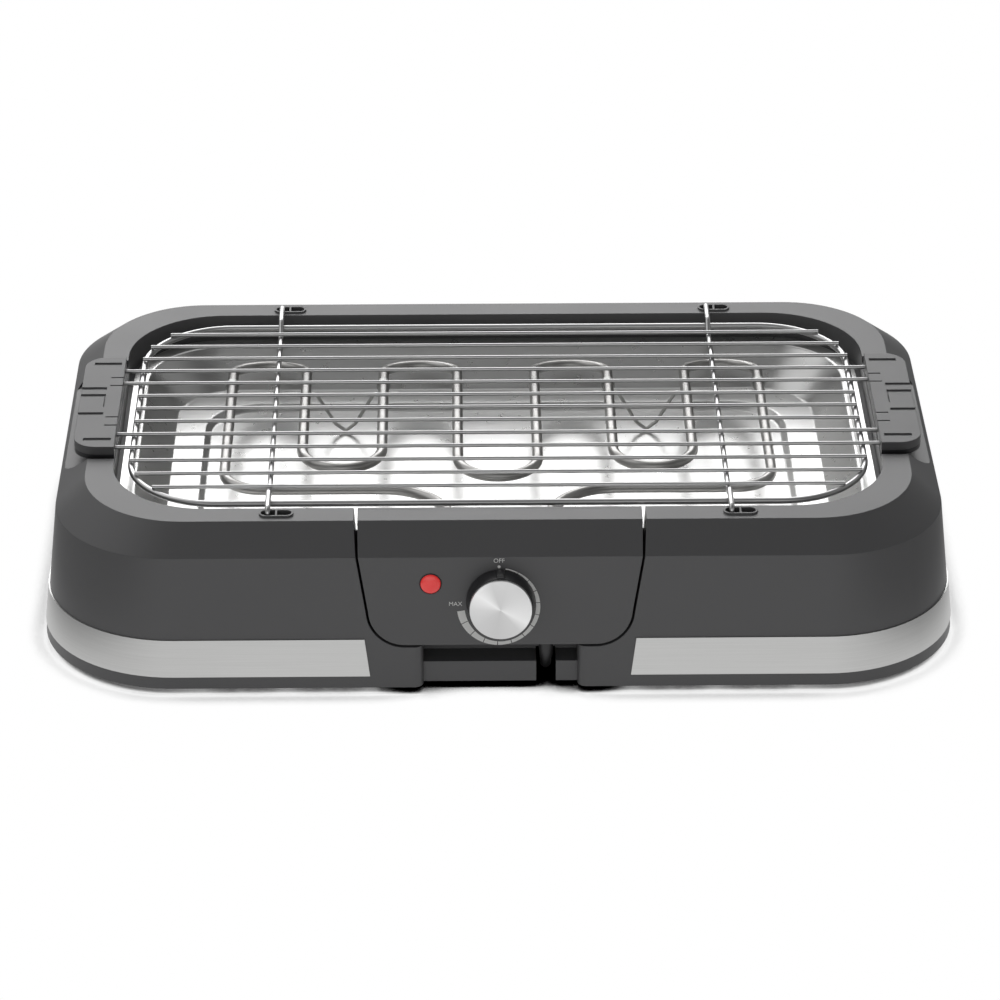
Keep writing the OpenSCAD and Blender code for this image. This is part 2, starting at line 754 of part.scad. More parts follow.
// Front shell: panel, its piece of the chamfer and rim, and walls back to the cover
module control_fascia() {
  g = -module_gap / 2;
  color(charcoal) placed() difference() {
    intersection() {
      outer_form();
      module_prism(g, -foot_by - over, module_in_y);
    }
    difference() {
      intersection() {
        inner_form();
        module_prism(g - shell_t, -foot_by - over, module_in_y + over);
      }
      cover_places() rotate([90, 0, 0]) cylinder(h = foot_by, d = boss_d, $fn = bore_fn);
      // Collars round the thermostat's bush and the pilot lamp
      on_panel(0, knob_z) translate([0, 0, -shell_t - collar_h])
        cylinder(h = collar_h + over, d = 2 * shaft_hole_d, $fn = bore_fn);
      on_panel(lamp_x, lamp_z) translate([0, 0, -shell_t - collar_h - over])
        cylinder(h = collar_h + 2 * over, d = lamp_d + 4, $fn = bore_fn);
    }
    cover_places() rotate([90, 0, 0]) translate([0, 0, -over])
      cylinder(h = cover_screw_l + 1.5, d = screw_d, $fn = bore_fn);
    on_panel(0, knob_z) translate([0, 0, -shell_t - collar_h - over])
      cylinder(h = shell_t + 2 * collar_h, d = shaft_hole_d, $fn = bore_fn);
    on_panel(lamp_x, lamp_z) translate([0, 0, -shell_t - collar_h - 2 * over])
      cylinder(h = shell_t + 2 * collar_h + over, d = lens_hole_d, $fn = bore_fn);
    // Way out for the cord, through the module's floor
    translate([cord_x, cord_y, module_z - over])
      cylinder(h = 2 * shell_t + over, r = relief_top_r + 0.3, $fn = bore_fn);
  }
}

// Rear cover, with the two bushed holes for the element
module control_back() {
  g = -module_gap / 2;
  color(charcoal) placed() difference() {
    intersection() {
      module_prism(g, module_in_y, -well_by);
      translate([-foot_ax, -foot_by, 0]) cube([2 * foot_ax, 2 * foot_by, rim_z]);
    }
    for (side = [-1, 1]) {
      translate([side * terminal_x, module_in_y - over, element_z]) rotate([-90, 0, 0])
        cylinder(h = shell_t + 2 * over, d = element_d + 0.6, $fn = bore_fn);
    }
    cover_places() translate([0, -over, 0]) rotate([-90, 0, 0]) {
      cylinder(h = shell_t + 2 * over, d = 3.2, $fn = bore_fn);
      translate([0, 0, over + 1.2]) cylinder(h = shell_t, d = 6.2, $fn = bore_fn);
    }
  }
}

module cover_screws() {
  color(steel) placed() cover_places() {
    translate([0, shell_t / 2, 0]) rotate([-90, 0, 0])
      cylinder(h = cover_head_h, d = cover_head_d, $fn = bore_fn);
    translate([0, shell_t / 2 - cover_screw_l + 0.2, 0]) rotate([-90, 0, 0])
      cylinder(h = cover_screw_l, d = screw_d, $fn = bore_fn);
  }
}

// Domed red lens with a stem behind the panel
module pilot_lens() {
  dome_h = 1.6;
  dome_r = (pow(lamp_d / 2, 2) + pow(dome_h, 2)) / (2 * dome_h);
  color([0.86, 0.2, 0.2]) placed() on_panel(lamp_x, lamp_z) {
    intersection() {
      translate([0, 0, dome_h - dome_r]) sphere(dome_r, $fn = corner_fn);
      cylinder(h = dome_h + 1, d = lamp_d, $fn = bore_fn);
    }
    translate([0, 0, -6.4]) cylinder(h = 6.4 + thin, d = lamp_d, $fn = bore_fn);
  }
}

// Neon lamp behind the lens, with its two leads
module pilot_lamp() {
  color([0.9, 0.6, 0.4]) placed() on_panel(lamp_x, lamp_z) {
    translate([0, 0, -14.5]) cylinder(h = 8, d = 7, $fn = bore_fn);
    for (x = [-1.6, 1.6]) translate([x, 0, -19]) cylinder(h = 4.6, d = 1, $fn = bore_fn);
  }
}

// Bush and switch can of the thermostat, bored for its shaft
module thermostat() {
  color(steel) placed() on_panel(0, knob_z) difference() {
    union() {
      translate([0, 0, -shell_t - collar_h])
        cylinder(h = shell_t + collar_h, d = shaft_hole_d - 0.4, $fn = bore_fn);
      translate([0, 0, -stat_back]) cylinder(h = stat_l, d = stat_d, $fn = bore_fn);
      for (x = [-8, 8]) translate([x - 3, -0.5, -stat_back - 5]) cube([6, 1, 5.5]);
    }
    translate([0, 0, -shell_t - collar_h - shaft_in - 0.5])
      cylinder(h = 2 * shaft_in, d = shaft_d + 2 * shaft_fit, $fn = bore_fn);
  }
}

// Turning shaft: it runs in the thermostat and carries the knob
module thermostat_shaft() {
  color(chrome) placed() on_panel(0, knob_z) difference() {
    translate([0, 0, -shell_t - collar_h - shaft_in])
      cylinder(h = shell_t + collar_h + shaft_in + shaft_out, d = shaft_d, $fn = bore_fn);
    translate([shaft_d / 4, -shaft_d, knob_gap + over]) cube([shaft_d, 2 * shaft_d, knob_h]);
  }
}

// Feeler of the thermostat, carried behind its can by a short tube
module thermostat_bulb() {
  color(chrome) placed() on_panel(0, knob_z) translate([0, bulb_up, -stat_back - bulb_off]) {
    rod([-bulb_l / 2, 0, 0], [bulb_l / 2, 0, 0], bulb_d);
    cylinder(h = bulb_off - seat, d = bulb_d / 3, $fn = bore_fn);
  }
}

// Two-way ceramic terminal block on the module's floor
module terminal_block() {
  z0 = module_floor_z + shell_t;
  color([0.92, 0.9, 0.85]) placed() difference() {
    translate([-36, module_in_y - 26, z0]) cube([24, 16, 12]);
    for (x = [-30, -18]) {
      translate([x, module_in_y - 27, z0 + 6]) rotate([-90, 0, 0]) cylinder(h = 18, d = 4, $fn = bore_fn);
      translate([x, module_in_y - 18, z0 + 6]) cylinder(h = 8, d = 4.4, $fn = bore_fn);
    }
  }
}

// Sleeved thermal fuse clipped against the rear cover
module thermal_fuse() {
  color([0.95, 0.95, 0.9]) placed() {
    rod([38, module_in_y - 3.3, 66], [60, module_in_y - 3.3, 66], 6);
    rod([60, module_in_y - 3.3, 66], [66, module_in_y - 3.3, 66], 1.2);
  }
}

// Leads from the terminal block to the element, the thermostat and the lamp
module wiring() {
  z0 = module_floor_z + shell_t + 6;
  y0 = module_in_y - 8.5;
  live = [
    [-18, y0, z0], [-17, y0 + 2, z0 + 4], [-16, y0 + 3, z0 + 12], [-16, y0 + 3, z0 + 24],
    [-20, y0 + 2, z0 + 34], [-26, y0 - 1, z0 + 42], [-terminal_x, y0 - 6, element_z - 3.2]
  ];
  neutral = [
    [-30, y0, z0], [-34, y0 + 2, z0 + 4], [-38, y0 + 2, z0 + 12], [-40, y0, z0 + 22],
    [lamp_x, y0 - 4, lamp_z - 2]
  ];
  color([0.2, 0.3, 0.6]) placed() {
    tube(live, even(live, 1.2), 8);
    tube(neutral, even(neutral, 1.2), 8);
  }
}

// Saddle that holds the cord's sheath, screwed to the module's floor
module cord_clamp() {
  z0 = module_floor_z + shell_t;
  color(dark) placed() difference() {
    translate([cord_x - 11, cord_y + 7, z0]) cube([22, 8, 13]);
    translate([cord_x, cord_y + 6, z0 + 7]) rotate([-90, 0, 0])
      cylinder(h = 10, d = cord_d + 0.4, $fn = bore_fn);
  }
}

// Points down the strain relief: straight through the floor, then round the cord's own bend
relief_path = concat(
  [for (z = [relief_top_z:-6:cord_z + cord_bend_r + 2]) [cord_x, cord_y, z]],
  [for (i = [0:3]) cord_arc(relief_turn * i / 3)],
  [relief_end]
);

// Tapered, ribbed relief that bends with the cord
module strain_relief() {
  n = len(relief_path) - 1;
  radii = [for (i = [0:n]) relief_top_r - (relief_top_r - relief_end_r) * i / n];
  color(dark) placed() {
    tube(relief_path, radii, 16, [1, 0, 0]);
    // Flange that sits on the module's floor
    translate([cord_x, cord_y, module_floor_z + shell_t + seat])
      cylinder(h = relief_flange_h, r = relief_top_r + 0.7, $fn = bore_fn);
  }
}

// ---------------------------------------------------------------- heating element

// Front bend between two neighbouring legs, whose legs end at y
module front_loop(i, y) {
  translate([(leg_x[i] + leg_x[i + 1]) / 2, y, 0]) bend(front_pitch / 2, element_d, 180, 180);
}

module heating_element() {
  front = [
    lead_y + lead_corner_r, side_leg_front_y, side_leg_front_y, middle_leg_front_y,
    middle_leg_front_y, side_leg_front_y, side_leg_front_y, lead_y + lead_corner_r
  ];
  color(chrome) placed() translate([0, 0, element_z]) {
    for (i = [0:7]) {
      rod([leg_x[i], front[i], 0], [leg_x[i], leg_back_y, 0], element_d);
      translate([leg_x[i], leg_back_y, 0]) sphere(d = element_d + 0.3, $fn = 16);
    }
    // Back loops: they dip behind the knees
    for (i = [0:2:6]) {
      translate([(leg_x[i] + leg_x[i + 1]) / 2, leg_back_y, 0]) rotate([-loop_dip, 0, 0])
        bend(back_pitch / 2, element_d, 0, 180);
    }
    front_loop(1, side_leg_front_y);
    front_loop(3, middle_leg_front_y);
    front_loop(5, side_leg_front_y);
    // Leads, round the outer corners and forward into the module
    for (side = [-1, 1]) mirror([side < 0 ? 1 : 0, 0, 0]) {
      translate([leg_x[7] - lead_corner_r, lead_y + lead_corner_r, 0])
        bend(lead_corner_r, element_d, 270, 90);
      rod([leg_x[7] - lead_corner_r, lead_y, 0], [terminal_x + lead_bend_r, lead_y, 0], element_d);
      translate([terminal_x + lead_bend_r, lead_y - lead_bend_r, 0])
        bend(lead_bend_r, element_d, 90, 90);
      rod([terminal_x, lead_y - lead_bend_r, 0], [terminal_x, terminal_y + cold_pin_l / 2, 0], element_d);
      rod([terminal_x, terminal_y + cold_pin_l / 2, 0], [terminal_x, terminal_y - cold_pin_l / 2, 0],
        cold_pin_d);
    }
  }
}

// Brass flanges that lock the element in the rear cover
module element_ferrules() {
  color([0.8, 0.65, 0.3]) placed() for (side = [-1, 1]) {
    translate([side * terminal_x, module_in_y - seat, element_z]) rotate([90, 0, 0]) difference() {
      union() {
        cylinder(h = 2, d = 2 * element_d, $fn = bore_fn);
        cylinder(h = ferrule_h, d = 1.6 * element_d, $fn = 6);
      }
      translate([0, 0, -over]) cylinder(h = ferrule_h + 2 * over, d = element_d + 0.1, $fn = bore_fn);
    }
  }
}

// Wire support under three legs from the first on: a bar, and a V-shaped foot that stands in the
// tray's basin, between foot_leg and the leg after it.
module bracket(first, foot_leg) {
  a = leg_x[first] - 9;
  b = leg_x[first + 2] + 9;
  dip_x = (leg_x[foot_leg] + leg_x[foot_leg + 1]) / 2;
  half = front_pitch / 2 - 7;
  w = bracket_wire;
  path = [
    [a, bracket_y, bar_z], [dip_x - half - 3, bracket_y, bar_z], [dip_x - half, bracket_y, bar_z - 1],
    [dip_x - 6, bracket_y, bracket_foot_z + 5], [dip_x - 3, bracket_y, bracket_foot_z + 1.2],
    [dip_x, bracket_y, bracket_foot_z], [dip_x + 3, bracket_y, bracket_foot_z + 1.2],
    [dip_x + 6, bracket_y, bracket_foot_z + 5], [dip_x + half, bracket_y, bar_z - 1],
    [dip_x + half + 3, bracket_y, bar_z], [b, bracket_y, bar_z]
  ];
  color(chrome) placed() {
    tube(path, even(path, w / 2), 8, [0, 1, 0]);
    // Clips pressed round the outer two legs
    for (x = [leg_x[first], leg_x[first + 2]]) {
      translate([x, bracket_y + w / 2 + 0.1, element_z]) rotate([-90, 0, 0]) difference() {
        cylinder(h = clip_w, d = element_d + 2 * clip_t, $fn = bore_fn);
        translate([0, 0, -over]) cylinder(h = clip_w + 2 * over, d = element_d + 0.1, $fn = bore_fn);
      }
    }
  }
}

module bracket_left() {
  bracket(0, 1);
}

module bracket_right() {
  bracket(5, 5);
}

// ---------------------------------------------------------------- knob

// Dark skirt, hollow behind, with a hub bored for the shaft and a pointer rib
module knob_body() {
  color(dark) placed() on_panel(0, knob_z) difference() {
    union() {
      translate([0, 0, knob_gap]) difference() {
        cylinder(h = skirt_top - knob_gap, d1 = knob_d, d2 = knob_cap_d + 1, $fn = corner_fn);
        translate([0, 0, -over])
          cylinder(h = knob_h - disc_t - knob_gap - 0.5, d = knob_cap_d - 2 * knob_wall, $fn = corner_fn);
      }
      translate([0, 0, knob_gap]) cylinder(h = skirt_top - knob_gap, d = hub_d, $fn = bore_fn);
      translate([-rib_w / 2, knob_cap_d / 2 - knob_wall + 1, knob_gap])
        cube([rib_w, (knob_d - knob_cap_d) / 2 + knob_wall - 0.5, skirt_top - knob_gap - 0.8]);
    }
    translate([0, 0, -over]) cylinder(h = shaft_out + 0.2 + over, d = shaft_d + 2 * shaft_fit, $fn = bore_fn);
    // Seat for the disc
    translate([0, 0, knob_h - disc_t]) cylinder(h = disc_t, d = knob_cap_d, $fn = corner_fn);
  }
}

// Turned aluminium face, with a bevelled edge
module knob_disc() {
  d = knob_cap_d - 0.1;
  color([0.9, 0.9, 0.9]) placed() on_panel(0, knob_z) translate([0, 0, knob_h - disc_t]) {
    cylinder(h = disc_t - disc_bevel, d = d, $fn = corner_fn);
    translate([0, 0, disc_t - disc_bevel])
      cylinder(h = disc_bevel, d1 = d, d2 = d - 2 * disc_bevel, $fn = corner_fn);
  }
}

// ---------------------------------------------------------------- grid

function wire_y(i) = ((wire_count - 1) / 2 - i) * wire_pitch;
// Half width of the ring's middle line at depth y
function ring_half(y) =
  abs(y) <= ring_by - ring_r ? ring_ax :
  ring_ax - ring_r + sqrt(pow(ring_r, 2) - pow(abs(y) - (ring_by - ring_r), 2));

module grid_ring() {
  color(chrome) placed() translate([0, 0, ring_z]) for (s = [-1, 1]) {
    rod([s * ring_ax, -(ring_by - ring_r), 0], [s * ring_ax, ring_by - ring_r, 0], ring_d);
    rod([-(ring_ax - ring_r), s * ring_by, 0], [ring_ax - ring_r, s * ring_by, 0], ring_d);
    for (k = [0, 1]) {
      translate([(k == 0 ? 1 : -1) * s * (ring_ax - ring_r), s * (ring_by - ring_r), 0])
        bend(ring_r, ring_d, (s > 0 ? 0 : 180) + 90 * k, 90);
    }
  }
}

// Long wires: all but four end on the ring, and those four run on into the handles
module grid_wires() {
  color(chrome) placed() for (i = [0:wire_count - 1]) {
    y = wire_y(i);
    inside = len([for (k = handle_wires) if (k == i) 1]) == 0;
    half = inside ? ring_half(y) + 1 : handle_in_x + handle_bite;
    rod([-half, y, wire_z], [half, y, wire_z], wire_d);
  }
}

// Path of a cross wire from the back hole to the front one
function cross_half(s) = [
  [s * cross_x, 0, cross_z],
  [s * cross_x, ring_by - 11, cross_z],
  [s * cross_x, ring_by - 8, cross_z + 0.8],
  [s * cross_x, ring_by - 5, cross_top_z - 0.8],
  [s * cross_x, ring_by - 2, cross_top_z],
  [s * cross_x, socket_y - 3, cross_top_z],
  [s * cross_x, socket_y - 1, cross_top_z - 0.6],
  [s * cross_x, socket_y, cross_top_z - 2.4],
  [s * cross_x, socket_y, cross_foot_z]
];

module cross_wires() {
  color(chrome) placed() for (s = [-1, 1]) {
    back = cross_half(s);
    path = concat(
      [for (i = [len(back) - 1:-1:0]) back[i]],
      [for (i = [1:len(back) - 1]) [back[i][0], -back[i][1], back[i][2]]]
    );
    tube(path, even(path, cross_d / 2), 12, [1, 0, 0]);
  }
}

// Handle plate between two heights: square at the grid, rounded at the outside
module handle_plate(z0, z1) {
  translate([0, 0, z0]) linear_extrude(z1 - z0)
    one_sided(handle_in_x, handle_in_x + handle_w, handle_l / 2, handle_r);
}

// Grooves in the top of a handle: [x from its inner edge, middle y, length along X, width along Y].
// Those in the middle run out through the outer edge, and the thin ones through the inner edge.
handle_grooves = concat(
  [for (y = [-50.5, 51.4]) [2.4, y, handle_w - 8.1, groove_w]],
  [for (y = [-16.6, 8, 17.4]) [handle_w - 15.2, y, 15.2 + over, groove_w]],
  [for (y = [-32, -21, 21.4, 32.3]) [-over, y, 7.5 + over, slit_w]],
  [[handle_w - 15.2, 0.2, slit_w / 2, 15.4]]
);

module wire_channels() {
  for (i = handle_wires) {
    translate([handle_in_x - over, wire_y(i), wire_z]) rotate([0, 90, 0])
      cylinder(h = handle_bite + over + 0.5, d = wire_d + 0.1, $fn = bore_fn);
  }
}

module handle_top(side) {
  color(charcoal) placed() mirror([side < 0 ? 1 : 0, 0, 0]) difference() {
    handle_plate(wire_z, handle_z + handle_h);
    for (g = handle_grooves) {
      translate([handle_in_x + g[0], g[1] - g[3] / 2, handle_z + handle_h - groove_h])
        cube([g[2], g[3], groove_h + over]);
    }
    wire_channels();
    for (y = handle_screw_y) {
      translate([handle_screw_x, y, wire_z - over])
        cylinder(h = over + handle_screw_l - 2, d = handle_screw_d, $fn = bore_fn);
    }
  }
}

module handle_base(side) {
  color(dark) placed() mirror([side < 0 ? 1 : 0, 0, 0]) difference() {
    handle_plate(handle_z, wire_z);
    wire_channels();
    for (y = handle_screw_y) {
      translate([handle_screw_x, y, handle_z - over]) {
        cylinder(h = handle_h, d = handle_screw_d + 0.4, $fn = bore_fn);
        cylinder(h = over + handle_head_h + 0.1, d = handle_head_d + 0.4, $fn = bore_fn);
      }
    }
  }
}

module handle_left_top() {
  handle_top(-1);
}

module handle_left_base() {
  handle_base(-1);
}

module handle_right_top() {
  handle_top(1);
}

module handle_right_base() {
  handle_base(1);
}

module handle_screws() {
  color(steel) placed() for (s = [-1, 1], y = handle_screw_y) {
    translate([s * handle_screw_x, y, handle_z + 0.1]) {
      cylinder(h = handle_head_h, d = handle_head_d, $fn = bore_fn);
      cylinder(h = handle_screw_l, d = handle_screw_d, $fn = bore_fn);
    }
  }
}

// ---------------------------------------------------------------- cord

module cord_run() {
  color(dark) placed() tube(cord_route, even(cord_route, cord_d / 2), 10, [1, 0, 0]);
}

module cord_coil() {
  color(dark) placed() tube(coil_path, even(coil_path, cord_d / 2), 6);
}

// Moulded three-pin plug, with the end of the cord that runs into it
module plug() {
  grip = [plug_l * 0.7, plug_w / 2, plug_h / 2];
  color(dark) placed() translate(plug_at) {
    rotate([0, 90, 0]) cylinder(h = tail_l, d = cord_d, $fn = bore_fn);
    translate([tail_l, 0, 0]) rotate([0, 90, 0])
      cylinder(h = plug_neck_l, d1 = cord_d + 1, d2 = plug_neck_d, $fn = bore_fn);
    translate([tail_l + plug_neck_l - 2, 0, 0]) hull() {
      cube([2, plug_w * 0.4, plug_h * 0.8], center = true);
      translate([plug_l * 0.3, 0, 0]) cube([2, plug_w, plug_h], center = true);
      translate([grip[0], 0, 0]) cube([2, plug_w, plug_h], center = true);
    }
    for (k = [-1, 0, 1]) {
      translate([tail_l + plug_neck_l - 2 + grip[0], k * pin_pitch, k == 0 ? earth_up : 0]) rotate([0, 90, 0])
        cylinder(h = pin_l, d = pin_d, $fn = bore_fn);
    }
  }
}

base_housing();
trim_left();
trim_right();
rubber_feet();
foot_screws();
drip_tray();
control_fascia();
control_back();
cover_screws();
pilot_lens();
pilot_lamp();
thermostat();
thermostat_shaft();
thermostat_bulb();
terminal_block();
thermal_fuse();
wiring();
cord_clamp();
strain_relief();
heating_element();
element_ferrules();
bracket_left();
bracket_right();
knob_body();
knob_disc();
grid_ring();
grid_wires();
cross_wires();
handle_left_top();
handle_left_base();
handle_right_top();
handle_right_base();
handle_screws();
cord_run();
cord_coil();
plug();
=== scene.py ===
"""Electric indoor grill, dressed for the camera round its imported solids.

Everything is in metres in the frame of the solids: +Z up, -Y the front with the dial, the table
at z = 0. Sizes in the classes are in millimetres, about the middle of the base.
"""

import logging
import math
from dataclasses import dataclass
from enum import Enum
from typing import Iterable, Optional, Sequence

import bmesh
import bpy
from mathutils import Matrix, Vector


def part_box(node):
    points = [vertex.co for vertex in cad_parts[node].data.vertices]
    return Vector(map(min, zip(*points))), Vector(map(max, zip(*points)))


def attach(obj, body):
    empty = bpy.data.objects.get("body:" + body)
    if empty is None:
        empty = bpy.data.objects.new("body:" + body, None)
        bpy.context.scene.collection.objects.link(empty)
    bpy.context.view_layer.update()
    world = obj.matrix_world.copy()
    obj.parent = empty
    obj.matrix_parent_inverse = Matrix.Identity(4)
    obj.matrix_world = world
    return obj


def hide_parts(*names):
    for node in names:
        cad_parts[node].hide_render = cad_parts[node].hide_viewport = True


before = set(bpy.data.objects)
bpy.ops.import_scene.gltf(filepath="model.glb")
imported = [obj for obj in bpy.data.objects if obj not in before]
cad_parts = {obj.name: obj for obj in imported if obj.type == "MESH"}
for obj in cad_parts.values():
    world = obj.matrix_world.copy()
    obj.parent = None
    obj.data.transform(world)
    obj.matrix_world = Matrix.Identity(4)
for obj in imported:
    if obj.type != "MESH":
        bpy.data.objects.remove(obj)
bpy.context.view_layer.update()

logging.basicConfig(level=logging.INFO, format="%(message)s")
LOG = logging.getLogger("grill")

MM = 0.001
HOUSING_LOW, HOUSING_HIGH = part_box("base_housing")
# The knob stands out in front, so the middle of the base is a little behind the frame's origin
BASE_MIDDLE_Y = (HOUSING_LOW.y + HOUSING_HIGH.y) / 2

# Short names for types that recur
Line = list[Vector]
Piece = bpy.types.Object
Node, Tree, Socket = bpy.types.Node, bpy.types.NodeTree, bpy.types.NodeSocket
Mesh, Edges = bmesh.types.BMesh, list[bmesh.types.BMEdge]
Pair, Triple = tuple[float, float], tuple[float, float, float]


class Body(Enum):
    """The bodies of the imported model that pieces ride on."""

    BASE = "base"
    TRAY = "tray"
    HEATER = "heater"
    KNOB = "knob"
    GRID = "grid"


# ---- measures and paths


def at(x: float, y: float, z: float) -> Vector:
    """Turns a place in millimetres about the base's middle into the frame's metres.

    Args:
        x: Across, to the right.
        y: Back, from the middle of the base.
        z: Up from the table.

    Returns:
        The place in metres.
    """
    return Vector((x * MM, y * MM + BASE_MIDDLE_Y, z * MM))


def arc(centre: Vector, radius: float, start: float, end: float, steps: int = 20, tip: float = 0.0) -> Line:
    """Points of an arc in a level plane, which may tip down behind its centre.

    Args:
        centre: Middle of the arc, in metres.
        radius: Radius in millimetres.
        start: First angle in degrees, from +X.
        end: Last angle in degrees.
        steps: Number of steps.
        tip: Angle in degrees by which the plane dips towards +Y.

    Returns:
        The points, first and last included.
    """
    points = []
    for step in range(steps + 1):
        angle = math.radians(start + (end - start) * step / steps)
        across = radius * MM * math.cos(angle)
        back = radius * MM * math.sin(angle)
        dip = math.radians(tip)
        points.append(centre + Vector((across, back * math.cos(dip), -back * math.sin(dip))))
    return points


def rounded_path(corners: Sequence[Vector], radius: float, steps: int = 8) -> Line:
    """Rounds the corners of an open path.

    Args:
        corners: The path's corners, in metres.
        radius: Radius of each bend in millimetres, less where a side is too short for it.
        steps: Steps in each bend.

    Returns:
        The points of the rounded path.
    """
    points = [corners[0].copy()]
    for before, corner, after in zip(corners, corners[1:], corners[2:]):
        inward = (before - corner).normalized()
        outward = (after - corner).normalized()
        half = inward.angle(outward) / 2
        room = 0.48 * min((before - corner).length, (after - corner).length)
        reach = min(radius * MM / math.tan(half), room)
        start, end = corner + inward * reach, corner + outward * reach
        bend = reach * math.tan(half)
        centre = corner + (inward + outward).normalized() * (bend / math.sin(half))
        for step in range(steps + 1):
            spoke = (start - centre).slerp(end - centre, step / steps)
            points.append(centre + spoke * (start - centre).length)
    points.append(corners[-1].copy())
    return points


def between(value: float, places: Sequence[float], results: Sequence[float]) -> float:
    """Reads a value off a broken line.

    Args:
        value: Where to read.
        places: The line's places, rising.
        results: The line's values there.

    Returns:
        The value of the line.
    """
    for low, high, first, last in zip(places, places[1:], results, results[1:]):
        if value <= high:
            return first + (last - first) * max(0.0, value - low) / (high - low)
    return results[-1]


# ---- finishes


def linear(colour: str) -> tuple[float, float, float, float]:
    """Turns an sRGB hex colour into linear light.

    Args:
        colour: Six hex digits, such as "a0b1c2".

    Returns:
        Red, green, blue and an alpha of 1.
    """
    channels = [int(colour[i : i + 2], 16) / 255 for i in (0, 2, 4)]
    red, green, blue = (c / 12.92 if c <= 0.04045 else ((c + 0.055) / 1.055) ** 2.4 for c in channels)
    return (red, green, blue, 1.0)


def cleared(owner: bpy.types.ID) -> Tree:
    """Turns on the nodes of a material or world, and empties them."""
    owner.use_nodes = True
    owner.node_tree.nodes.clear()
    return owner.node_tree


def add_node(
    tree: Tree,
    kind: str,
    settings: Optional[dict[str, object]] = None,
    inputs: Optional[dict[object, object]] = None,
    feeds: Optional[Socket] = None,
) -> Node:
    """Adds a node with its settings, values and links.

    Args:
        tree: The material's or world's nodes.
        kind: The node's type name, less its first word, which all of them share.
        settings: The node's own properties.
        inputs: For each input's name or number, the socket that feeds it or its value.
        feeds: The input that its first output goes to.

    Returns:
        The node.
    """
    node = tree.nodes.new("ShaderNode" + kind)
    for key, value in (settings or {}).items():
        setattr(node, key, value)
    for key, value in (inputs or {}).items():
        if isinstance(value, Socket):
            tree.links.new(value, node.inputs[key])
        else:
            node.inputs[key].default_value = value
    if feeds is not None:
        tree.links.new(node.outputs[0], feeds)
    return node


def set_ramp(node: Node, stops: Sequence[Pair]) -> None:
    """Gives a colour ramp its grey stops.

    Args:
        node: The ramp.
        stops: Place and grey level of each stop.
    """
    ramp = node.color_ramp
    while len(ramp.elements) < len(stops):
        ramp.elements.new(0.5)
    for element, (place, grey) in zip(ramp.elements, stops):
        element.position = place
        element.color = (grey, grey, grey, 1.0)


@dataclass(frozen=True)
class Finish:
    """A surface as it was made: its colour, its gloss, and the name of the slot that it belongs to."""

    name: str
    slot: str
    colour: str
    roughness: float
    metallic: float = 0.0
    wear_mm: float = 18.0

    def material(self) -> bpy.types.Material:
        """Builds the material once and returns it."""
        known = bpy.data.materials.get(self.name)
        if known:
            return known
        made = bpy.data.materials.new(self.name)
        tree = cleared(made)
        surface = add_node(
            tree, "BsdfPrincipled",
            inputs={"Base Color": linear(self.colour), "Metallic": self.metallic, "Roughness": self.roughness},
        )
        add_node(tree, "OutputMaterial", inputs={"Surface": surface.outputs[0]})
        self.detail(tree, surface, add_node(tree, "TexCoord").outputs["Object"])
        made.diffuse_color = linear(self.colour)
        made.metallic = self.metallic
        made.roughness = self.roughness
        return made

    def detail(self, tree: Tree, surface: Node, place: Socket) -> None:
        """Adds what the plain surface lacks: slow changes of gloss, as handling leaves them.

        Args:
            tree: The material's nodes.
            surface: Its shader.
            place: Object coordinates, in metres.
        """
        wear = add_node(tree, "TexNoise", inputs={"Vector": place, "Scale": 1 / (self.wear_mm * MM), "Detail": 4.0})
        low, high = max(0.02, self.roughness * 0.85), min(1.0, self.roughness * 1.15)
        add_node(
            tree, "MapRange", None, {"Value": wear.outputs["Fac"], "To Min": low, "To Max": high},
            surface.inputs["Roughness"],
        )


@dataclass(frozen=True)
class Moulded(Finish):
    """Injection-moulded plastic: a spark-eroded mould leaves a fine grain that softens the gloss."""

    grain_mm: float = 1.1
    grain_depth_mm: float = 0.02
    edge_mm: float = 0.6
    cloud_mm: float = 45.0

    def detail(self, tree: Tree, surface: Node, place: Socket) -> None:
        """Adds the grain, slow changes of gloss and the softly rounded edges.

        Args:
            tree: The material's nodes.
            surface: Its shader.
            place: Object coordinates, in metres.
        """
        # The real grain is about 0.1 mm. It is drawn coarser, so that the camera sees any of it.
        grain = add_node(tree, "TexNoise", inputs={"Vector": place, "Scale": 1 / (self.grain_mm * MM), "Detail": 3.0})
        edge = add_node(tree, "Bevel", {"samples": 6}, {"Radius": self.edge_mm * MM})
        relief = {"Strength": 0.35, "Distance": self.grain_depth_mm * MM}
        add_node(
            tree, "Bump", None, {**relief, "Height": grain.outputs["Fac"], "Normal": edge.outputs[0]},
            surface.inputs["Normal"],
        )
        cloud = add_node(tree, "TexNoise", inputs={"Vector": place, "Scale": 1 / (self.cloud_mm * MM), "Detail": 2.0})
        add_node(
            tree, "MapRange", None,
            {"Value": cloud.outputs["Fac"], "To Min": self.roughness - 0.03, "To Max": self.roughness + 0.03},
            surface.inputs["Roughness"],
        )


